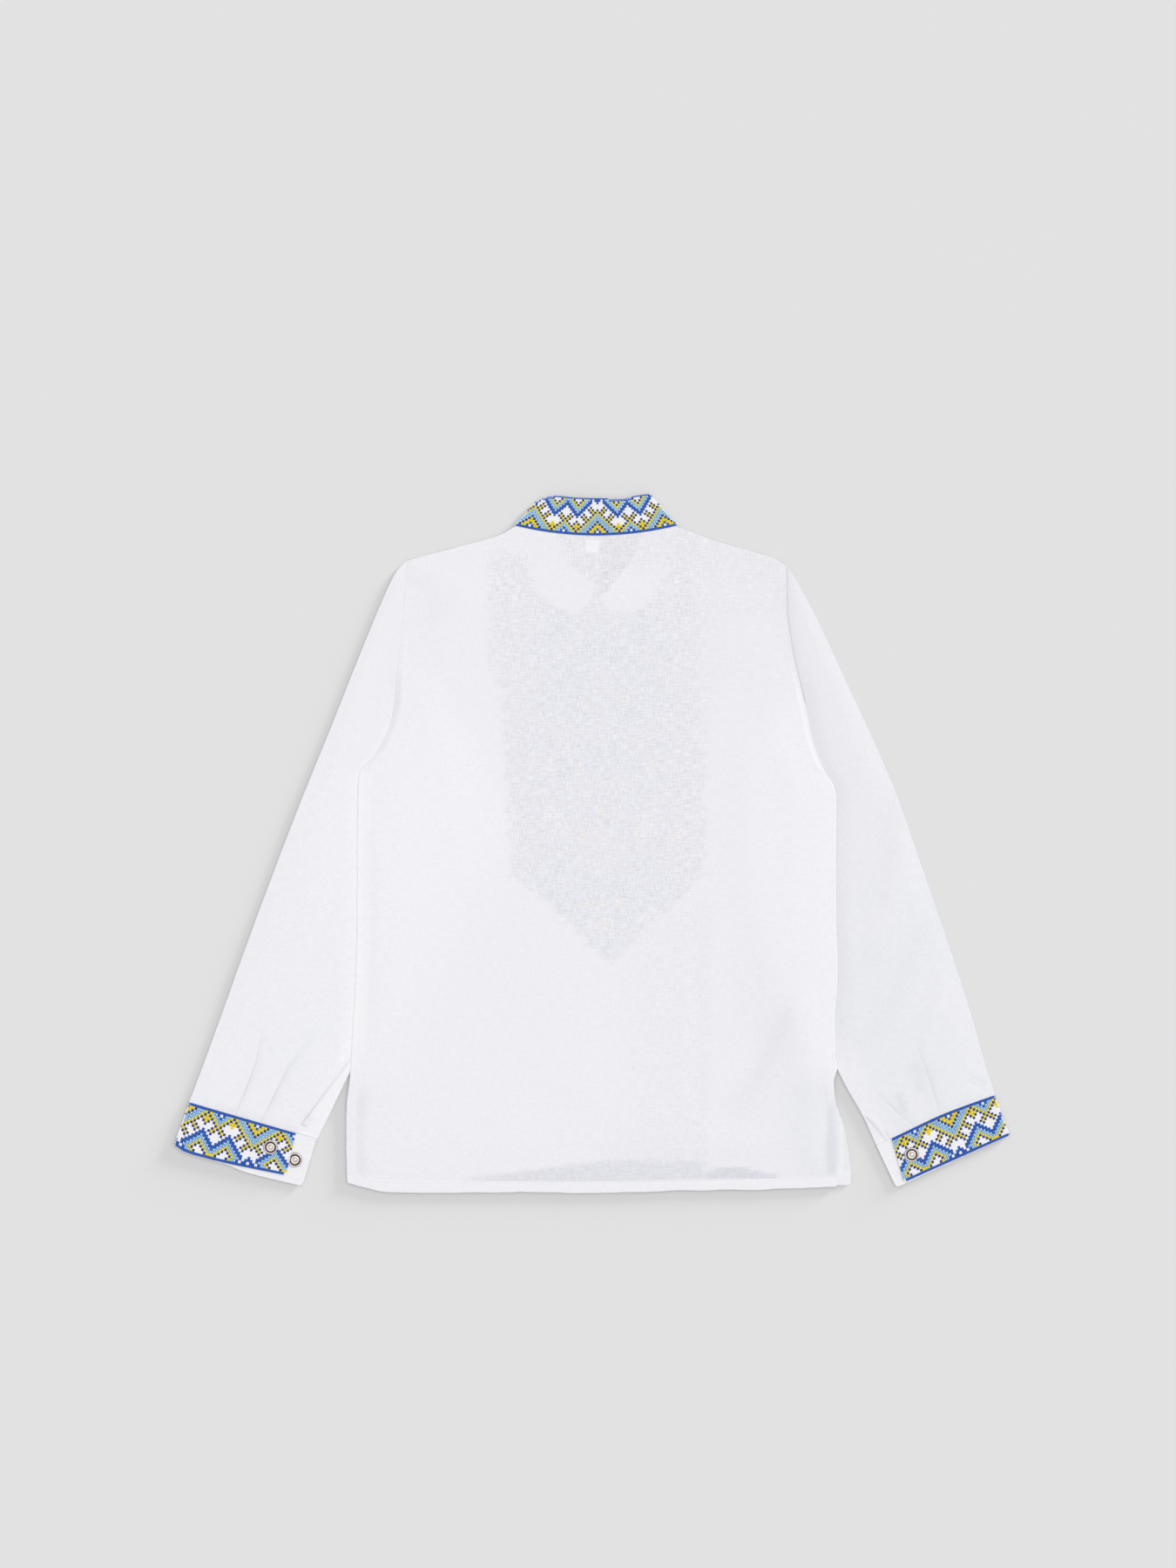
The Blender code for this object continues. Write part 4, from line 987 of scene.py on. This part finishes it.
def add_stitches(name, cells):
    """Crossed stitches over a pad in a darker colour of their thread, painted shade in the gaps between the crosses;
    cells are (thread, four corners, normal), in millimetres.
    """
    keys = sorted(THREADS)
    rng = np.random.default_rng(13)
    vertices, faces, slots = [], [], []
    for thread, corners, normal in cells:
        normal = np.asarray(normal, float)
        number = keys.index(thread)
        middle = corners.mean(axis=0)
        corners = middle + (corners - middle) * CELL_SHARE[thread]
        start = len(vertices)
        # A pad in a darker colour of the thread: painted shade in the gaps between the crosses
        shade_pad = middle + (corners - middle) * 0.97
        vertices.extend(shade_pad + normal * 0.10)
        vertices.extend(shade_pad - normal * 0.05)
        faces.append((start, start + 1, start + 2, start + 3))
        faces.append((start + 7, start + 6, start + 5, start + 4))
        faces.extend((start + i, start + 4 + i, start + 4 + (i + 1) % 4, start + (i + 1) % 4) for i in range(4))
        slots.extend([number + len(keys)] * 6)
        for pair, (a, b) in enumerate(((0, 2), (1, 3))):
            jitter = rng.normal(0.0, 0.05, (2, 3))
            ends = mix(corners[a], corners[b], 0.06) + jitter[0], mix(corners[a], corners[b], 0.94) + jitter[1]
            across = unit(np.cross(normal, ends[1] - ends[0])) * STITCH_HALF * (1.0 + rng.normal(0.0, 0.05))
            start = len(vertices)
            level = 0.22 + 0.12 * pair
            for share, height, slim in ((0.0, 0.02, 0.7), (0.28, level, 1.0), (0.72, level, 1.0), (1.0, 0.02, 0.7)):
                centre = mix(ends[0], ends[1], share) + normal * height
                vertices.extend(centre + normal * up + across * slim * wide
                                for up, wide in ((0.0, -1.0), (0.24, -0.45), (0.24, 0.45), (0.0, 1.0)))
            for base in (start, start + 4, start + 8):
                faces.extend((base + j, base + (j + 1) % 4, base + 4 + (j + 1) % 4, base + 4 + j) for j in range(4))
            faces.append((start + 3, start + 2, start + 1, start))
            faces.append((start + 12, start + 13, start + 14, start + 15))
            slots.extend([number] * 14)
    made = new_object(name, np.array(vertices), faces, [threads[key] for key in keys] + [shaded_gap_threads[key] for key in keys])
    made.data.polygons.foreach_set("material_index", slots)
    made.data.update()
    settle(made, "band")


# Collar

COLLAR_PITCH = 2.09
COLLAR_ROW = 2.03
COLLAR_MIDDLE = 4.7
COLLAR_LEAN = 0.31
COLLAR_LEAN_RUN = 57.0
COLLAR_BORDER = 1.5
COLLAR_COLUMNS = 38
FRONT_COLUMNS = 50
FRONT_START = 33


def collar_front_ends(side, share):
    """Sewn and free point of a front half, from the side fold (0) to the middle (1)."""
    neck_x = NECK_MIDDLE + side * np.maximum(NECK_HALF * (1.0 - share), 0.5)
    fold = np.array(COLLAR_TOP[0] if side < 0 else COLLAR_TOP[-1], float)
    bend = np.array([NECK_MIDDLE + side * COLLAR_FRONT_BEND[0], COLLAR_FRONT_BEND[1]])
    end = np.array([NECK_MIDDLE + side * COLLAR_END[0], COLLAR_END[1]])
    free = mix(mix(fold, bend, share), mix(bend, end, share), share)
    return np.array([neck_x, front_neck_y(neck_x)]), free


def collar_sides(share_up):
    """Left and right end of the collar's back half at a share of its height."""
    return mix(NECK_LEFT, COLLAR_TOP[0][0], share_up), mix(NECK_RIGHT, COLLAR_TOP[-1][0], share_up)


def collar_top_y(x):
    return float(read(COLLAR_TOP, np.clip(x, COLLAR_TOP[0][0], COLLAR_TOP[-1][0])))


def collar_z(x, y):
    """Outer height of the collar's back half over a plan point, and the share of its height there."""
    share_up = 0.5
    for _ in range(5):
        left, right = collar_sides(share_up)
        share = np.clip((x - left) / (right - left), 0.0, 1.0)
        low_y = back_neck_y(mix(NECK_LEFT, NECK_RIGHT, share))
        high_y = read(COLLAR_TOP, mix(COLLAR_TOP[0][0], COLLAR_TOP[-1][0], share))
        share_up = np.clip((y - low_y) / (high_y - low_y), 0.0, 1.05)
    return COLLAR_TOP_Z + COLLAR_LIFT * np.sin(np.pi * share) * share_up, share_up


def add_collar():
    """Stand collar: back half on top, folded at both sides, front halves under the back panel."""
    across = np.array([0.0, 0.03, 0.1, 0.2, 0.32, 0.44, 0.56, 0.68, 0.78, 0.86, 0.92, 0.96, 0.985, 1.0])
    from_top = (1.0 - across) * COLLAR_WIDTH

    def section(low, high, level):
        return np.column_stack([low + (high - low) * across[:, None], level + 0 * across])

    def front_half(side):
        halves = [section(*collar_front_ends(side, share), BAND_UNDER + roll(from_top, 0.3))
                  for share in np.linspace(1.0, 0.0, 34)]
        low, high = collar_front_ends(side, 0.0)
        outwards = unit(np.array([high[1] - low[1], low[0] - high[0]])) * side
        for turn in math.pi * np.arange(1, 7) / 7:
            shift = outwards * COLLAR_BEND * math.sin(turn)
            halves.append(section(low + shift, high + shift, BAND_UNDER + COLLAR_BEND * (1.0 - math.cos(turn))))
        return halves

    back_half = []
    for share in np.linspace(0.0, 1.0, 64):
        x_low, x_top = mix(NECK_LEFT, NECK_RIGHT, share), mix(COLLAR_TOP[0][0], COLLAR_TOP[-1][0], share)
        level = COLLAR_TOP_Z + COLLAR_LIFT * math.sin(math.pi * share) * across - roll(from_top, 0.8)
        back_half.append(section(np.array([x_low, back_neck_y(x_low)]), np.array([x_top, read(COLLAR_TOP, x_top)]),
                                 level))
    grid = np.array(front_half(-1) + back_half + front_half(1)[::-1])
    made = add_cloth("collar_cloth", grid, grid_faces(*grid.shape[:2]), "band", "collar",
                     plain((241, 240.5, 244), grid[..., 0]), 0.1, walked(grid[:, 7])[:, None],
                     (across * COLLAR_WIDTH)[None, :])


def over_fold(x, y):
    """Point of the collar's outer surface, drawn down round its side folds and its top edge."""
    level, share_up = collar_z(x, y)
    left, right = collar_sides(share_up)
    top = collar_top_y(x)
    lean = math.cos(math.atan2(COLLAR_TOP[0][0] - NECK_LEFT, COLLAR_TOP[0][1] - NECK_TOP))
    beyond = min(max(left - x, x - right, 0.0) * lean, 0.9 * COLLAR_BEND)
    x = min(max(x, left - beyond / lean), right + beyond / lean)
    drop = COLLAR_BEND - math.sqrt(COLLAR_BEND ** 2 - beyond ** 2) + min(0.5 * max(y - (top - 0.9), 0.0), 0.6)
    return np.array([x, min(y, top + 0.15), level - drop])


def collar_cells():
    cells = []
    for column in range(-COLLAR_COLUMNS, COLLAR_COLUMNS):
        for row in range(BAND_ROWS):
            corners = []
            for da, db in CELL_CORNERS:
                a, b = (column + da) * COLLAR_PITCH, (row + db) * COLLAR_ROW
                x, lean = COLLAR_MIDDLE + a, -COLLAR_LEAN * a / COLLAR_LEAN_RUN
                corners.append((x + b * math.sin(lean), float(back_neck_y(x)) + 0.6 + b * math.cos(lean)))
            x, y = np.mean(corners, axis=0)
            left, right = collar_sides(collar_z(x, y)[1])
            top = collar_top_y(x)
            if not (left - 1.5 < x < right + 1.5) or y > top + 0.5 or y < float(back_neck_y(x)):
                continue
            thread = "r" if y > top - COLLAR_BORDER else chart(column, row, crosses_right=False)
            if thread != ".":
                cells.append((thread, np.array([over_fold(*point) for point in corners]), (0.0, 0.0, 1.0)))
    for side, order in ((-1, CELL_CORNERS), (1, CELL_CORNERS[:1] + CELL_CORNERS[:0:-1])):
        for column in range(1, FRONT_COLUMNS):
            for row in range(BAND_ROWS):
                thread = chart(side * (FRONT_START + column), row, crosses_right=False)
                if thread == ".":
                    continue
                corners = [[*mix(*collar_front_ends(side, (column + da) / FRONT_COLUMNS),
                                 0.02 + 0.96 * (row + db) / BAND_ROWS), BAND_UNDER] for da, db in order]
                cells.append((thread, np.array(corners), (0.0, 0.0, -1.0)))
    return cells


# Cuffs

# How far an edge bows out: rows of (share from the over-lap's end to the fold, or on from the fold, distance)
STRAIGHT = [(0, 0), (0.5, 0), (1, 0)]
CUFFS = {"cuff_left": {"corners": LEFT_CUFF, "side": -1, "pitch": 2.27, "middle": 26.8,
                       "over_bow": [(0, 0), (0.25, 1.9), (0.5, 3.7), (0.75, 4.5), (0.9, 4.0), (1, 0.8)],
                       "under_bow": [(0, 0.8), (0.12, 3.4), (0.3, 3.6), (0.42, 3.1), (0.55, 4.3), (0.7, 3.5),
                                     (0.88, 2.0), (1, 0.9)],
                       "seam_bow": STRAIGHT},
         "cuff_right": {"corners": RIGHT_CUFF, "side": 1, "pitch": 2.22, "middle": 19.3,
                        "over_bow": STRAIGHT, "under_bow": STRAIGHT,
                        "seam_bow": [(0, 0), (0.25, 1.3), (0.5, 2.2), (0.75, 1.4), (1, 0)]}}
CUFF_WIDTH = 39.0
CUFF_ROUND = 3.0
CUFF_SWELL = 0.25
CUFF_ENDS = [0.0, 0.25, 0.6, 1.1, 1.8, 2.6, 3.6]
SNAP_CLEAR = 6.0


def cuff_line(cuff, name, share):
    """Point between the seam and the free edge at the fold or at a lap's end."""
    return mix(np.array(cuff["corners"][name + "_seam"]), np.array(cuff["corners"][name + "_edge"]), share)


def cuff_lengths(cuff):
    fold = cuff["corners"]["fold_seam"]
    return math.dist(fold, cuff["corners"]["over_seam"]), math.pi * CUFF_BEND, \
        math.dist(fold, cuff["corners"]["under_seam"])


def bowed(cuff, name, place, share):
    """Shift of a cuff's point where the sewn or the free edge isn't straight."""
    out = float(read(cuff[name], place)) * share
    if name == "over_bow":
        out -= float(read(cuff["seam_bow"], place)) * (1.0 - share)
    return unit(cuff_line(cuff, "over", 1.0) - cuff_line(cuff, "over", 0.0)) * out


def cuff_section(cuff, place, share):
    """Point of a cuff's outer surface: place is the distance from the over-lap's end along the top, round
    the fold and back below; share runs from the sleeve seam to the free edge."""
    over, bend, under = cuff_lengths(cuff)
    fold = cuff_line(cuff, "fold", share)
    if place <= over:
        flat = mix(cuff_line(cuff, "over", share), fold, place / over) + bowed(cuff, "over_bow", place / over, share)
        return np.array([*flat, CUFF_TOP])
    if place < over + bend:
        run = cuff_line(cuff, "fold", 1.0) - cuff_line(cuff, "fold", 0.0)
        outwards = unit(np.array([run[1], -run[0]]))
        turn = (place - over) / CUFF_BEND
        reach = CUFF_BEND * math.sin(turn) * (1 if outwards[0] * cuff["side"] > 0 else -1)
        return np.array([*(fold + bowed(cuff, "over_bow", 1.0, share) + outwards * reach),
                         BAND_UNDER + CUFF_BEND * (1.0 + math.cos(turn))])
    back = min((place - over - bend) / under, 1.0)
    return np.array([*(mix(fold, cuff_line(cuff, "under", share), back) + bowed(cuff, "under_bow", back, share)),
                     BAND_UNDER])


def cuff_swell(share, place, over):
    return CUFF_SWELL * math.sin(math.pi * share) * math.sin(math.pi * min(place / over, 1.0))


def add_cuff(name, cuff):
    over, bend, under = cuff_lengths(cuff)
    total = over + bend + under
    places = [*CUFF_ENDS, *np.linspace(5.5, over - 1.0, 40), over, *(over + bend * i / 8 for i in range(1, 8)),
              over + bend, *np.linspace(over + bend + 2.0, total - 5.5, 44), *(total - end for end in CUFF_ENDS[::-1])]
    across = [0.0, 0.008, 0.03, 0.08, 0.15, 0.24, 0.34, 0.44, 0.54, 0.64, 0.74, 0.83, 0.90, 0.945, 0.975, 0.99, 1.0]
    grid = np.zeros((len(places), len(across), 3))
    for i, place in enumerate(places):
        from_end = min(place, total - place)
        drawn_in = 1.0 - rounding(from_end, CUFF_ROUND) / CUFF_WIDTH
        for j, share in enumerate(across):
            point = cuff_section(cuff, place, share * drawn_in)
            near = min(from_end, (1.0 - share) * CUFF_WIDTH)
            if place <= over:
                point[2] += cuff_swell(share, place, over) - float(roll(near, 0.5, 0.6))
            elif place > over + bend:
                point[2] += float(roll(near, 0.3, 0.2))
            grid[i, j] = point
    made = add_cloth(name + "_cloth", grid, grid_faces(*grid.shape[:2], turned=cuff["side"] > 0), "band", name,
                     plain((241, 240.5, 244.5), grid[..., 0]), 0.1, np.array(places)[:, None],
                     (np.array(across) * CUFF_WIDTH)[None, :])


def cuff_cells(cuff):
    over, bend, under = cuff_lengths(cuff)
    total, pitch, cells = over + bend + under, cuff["pitch"], []
    for number in range(int(total / pitch)):
        centre = (number + 0.5) * pitch
        column = int(round(cuff["middle"] - (over / pitch - number - 0.5))) * (-1 if cuff["side"] < 0 else 1)
        for row in range(BAND_ROWS):
            thread = chart(column, row, crosses_right=True)
            up = (row + 0.5) / BAND_ROWS
            gaps = CUFF_ROUND - min(centre, total - centre), CUFF_ROUND - (1.0 - up) * CUFF_WIDTH
            if thread == "." or (min(gaps) > 0 and math.hypot(*gaps) > CUFF_ROUND - 0.4):
                continue
            corners = np.array([cuff_section(cuff, max(centre + da * pitch, 0.3),
                                             0.012 + 0.976 * (row + db) / BAND_ROWS) for da, db in CELL_CORNERS])
            middle = corners.mean(axis=0)
            on_top = middle[2] > CUFF_TOP - 0.3
            if on_top and any(math.dist(middle[:2], snap[:2]) < SNAP_CLEAR for snap in SNAPS.values()):
                continue
            normal = unit(np.cross(corners[2] - corners[0], corners[3] - corners[1]))
            if (normal[2] > 0) != (middle[2] > BAND_UNDER + CUFF_BEND):
                normal, corners = -normal, corners[::-1]
            if on_top:
                corners[:, 2] += cuff_swell(up, centre, over)
            cells.append((thread, corners, normal))
    return cells


# Ring snaps: rows of (x, y, height of the seat), the profile as (radius, height), and each metal's colour,
# roughness, metallic share and the radii between which it lies; the rim's metal is everywhere else
SNAPS = {"snap_left_over": (-273.1, -257.9, CUFF_TOP), "snap_left_under": (-252.4, -268.8, BAND_UNDER + BAND_THICK),
         "snap_right_over": (271.7, -264.2, CUFF_TOP)}
SNAP_PROFILE = [(0.0, 1.05), (0.7, 1.05), (1.2, 0.98), (1.5, 0.72), (2.0, 0.64), (2.3, 0.80), (2.7, 0.92),
                (3.1, 0.90), (3.4, 0.74), (3.6, 0.44), (4.0, 0.34), (4.4, 0.38), (4.7, 0.60), (4.85, 0.96),
                (5.1, 1.16), (5.4, 1.20), (5.75, 1.08), (6.0, 0.78), (6.1, 0.45), (6.15, 0.25), (6.0, 0.2),
                (0.0, 0.2)]
# The recess, ring, bevel and edge colours are darker: painted shade in the snap's grooves and a painted shadow outline
# at its edge
SNAP_METALS = [("rim", (236, 231, 230), 0.3, 0.5, 0.0, 0.0), ("recess", (196, 184, 176), 0.4, 0.7, 1.3, 2.2),
               ("plate", (246, 240, 234), 0.34, 0.4, 2.2, 3.4), ("ring", (88, 70, 60), 0.6, 0.6, 3.4, 4.75),
               ("bevel", (176, 166, 162), 0.4, 0.5, 4.75, 5.15), ("edge", (120, 112, 110), 0.5, 0.5, 5.8, 6.2)]
SNAP_TURNS = 56
metals = [metal_finish("snap_" + row[0], *row[1:4]) for row in SNAP_METALS]


def add_snap(name, x, y, seat):
    vertices, faces, slots, rings = [], [], [], []
    for radius, level in SNAP_PROFILE:
        turns = np.arange(SNAP_TURNS if radius else 1) * 2 * math.pi / SNAP_TURNS
        rings.append(range(len(vertices), len(vertices) + len(turns)))
        vertices.extend((x + radius * math.cos(turn), y + radius * math.sin(turn), seat + level) for turn in turns)
    for number, (inner, outer) in enumerate(zip(rings, rings[1:])):
        start, end = SNAP_PROFILE[number][0], SNAP_PROFILE[number + 1][0]
        metal = 0
        for part, (*_, from_radius, to_radius) in enumerate(SNAP_METALS):
            if end > start and from_radius < 0.5 * (start + end) < to_radius:
                metal = part
        for i in range(SNAP_TURNS):
            k = (i + 1) % SNAP_TURNS
            if len(inner) == 1:
                faces.append((inner[0], outer[i], outer[k]))
            elif len(outer) == 1:
                faces.append((inner[i], outer[0], inner[k]))
            else:
                faces.append((inner[i], outer[i], outer[k], inner[k]))
            slots.append(metal)
    made = new_object(name + "_metal", vertices, faces, metals)
    made.data.polygons.foreach_set("material_index", slots)
    settle(made, "steel", name)


# Building the shirt

add_front()
add_back()
for name, sleeve in SLEEVES.items():
    add_sleeve(name, sleeve)
add_collar()
add_stitches("collar_stitches", collar_cells())
for name, cuff in CUFFS.items():
    add_cuff(name, cuff)
    add_stitches(name + "_stitches", cuff_cells(cuff))
for name, place in SNAPS.items():
    add_snap(name, *place)
for material_slot in frame["nodes"]["neck_label"].material_slots:
    material_slot.material = tape

# Floor, light and camera

FLOOR_HALF = 4.0
FLOOR_DROP = 0.0003
floor = new_object("floor", np.array([(x * FLOOR_HALF, y * FLOOR_HALF, -FLOOR_DROP) for x, y in (
    (-1, -1), (1, -1), (1, 1), (-1, 1))]) / MM, [(0, 1, 2, 3)], [floor_finish()])

# Each light: share of the floor's or the shirt's light, elevation, spread and what it falls on
LIGHT_HEADING = math.radians(40)
SUNS = {"fill": (0.13, 48.0, 60.0, None), "low_key": (0.15, 6.0, 10.5, "floor"),
        "high_key": (0.15, 46.0, 45.0, "shirt")}
SKY = float(linear(FLOOR[0])) / FLOOR_ALBEDO - SUNS["fill"][0] - SUNS["low_key"][0]

world = bpy.data.worlds.new("studio")
world.use_nodes = True
world.node_tree.nodes["Background"].inputs["Color"].default_value = (1.0, 1.0, 1.0, 1.0)
world.node_tree.nodes["Background"].inputs["Strength"].default_value = SKY
bpy.context.scene.world = world

lit = {"floor": bpy.data.collections.new("lit_floor"), "shirt": bpy.data.collections.new("lit_shirt")}
for piece in list(bpy.context.scene.objects):
    if piece.type == "MESH":
        lit["floor" if piece is floor else "shirt"].objects.link(piece)
for name, (share, elevation, spread, target) in SUNS.items():
    sun_data = bpy.data.lights.new(name, "SUN")
    sun_data.energy = share * math.pi / math.sin(math.radians(elevation))
    sun_data.angle = math.radians(spread)
    sun = bpy.data.objects.new(name, sun_data)
    sun.rotation_euler = (math.pi / 2 - math.radians(elevation), 0.0, math.pi / 2 + LIGHT_HEADING)
    bpy.context.scene.collection.objects.link(sun)
    if target:
        sun.light_linking.receiver_collection = lit[target]

# The camera looks straight down; the frame's middle is 4.5 pixels left of the shirt's and 68.5 pixels above it
PIXEL = 0.74 * MM
FRAME_HEIGHT = 1800 * PIXEL
CAMERA_HEIGHT = 2.6
SHIRT_TOP = 0.003
SENSOR = 36.0
camera_data = bpy.data.cameras.new("camera")
camera_data.sensor_width = SENSOR
camera_data.lens = SENSOR * (CAMERA_HEIGHT - SHIRT_TOP) / FRAME_HEIGHT
camera = bpy.data.objects.new("camera", camera_data)
camera.location = (-4.5 * PIXEL, 68.5 * PIXEL, CAMERA_HEIGHT)
bpy.context.scene.collection.objects.link(camera)
bpy.context.scene.camera = camera

bpy.context.scene.view_settings.view_transform = "Standard"
bpy.context.scene.view_settings.look = "None"
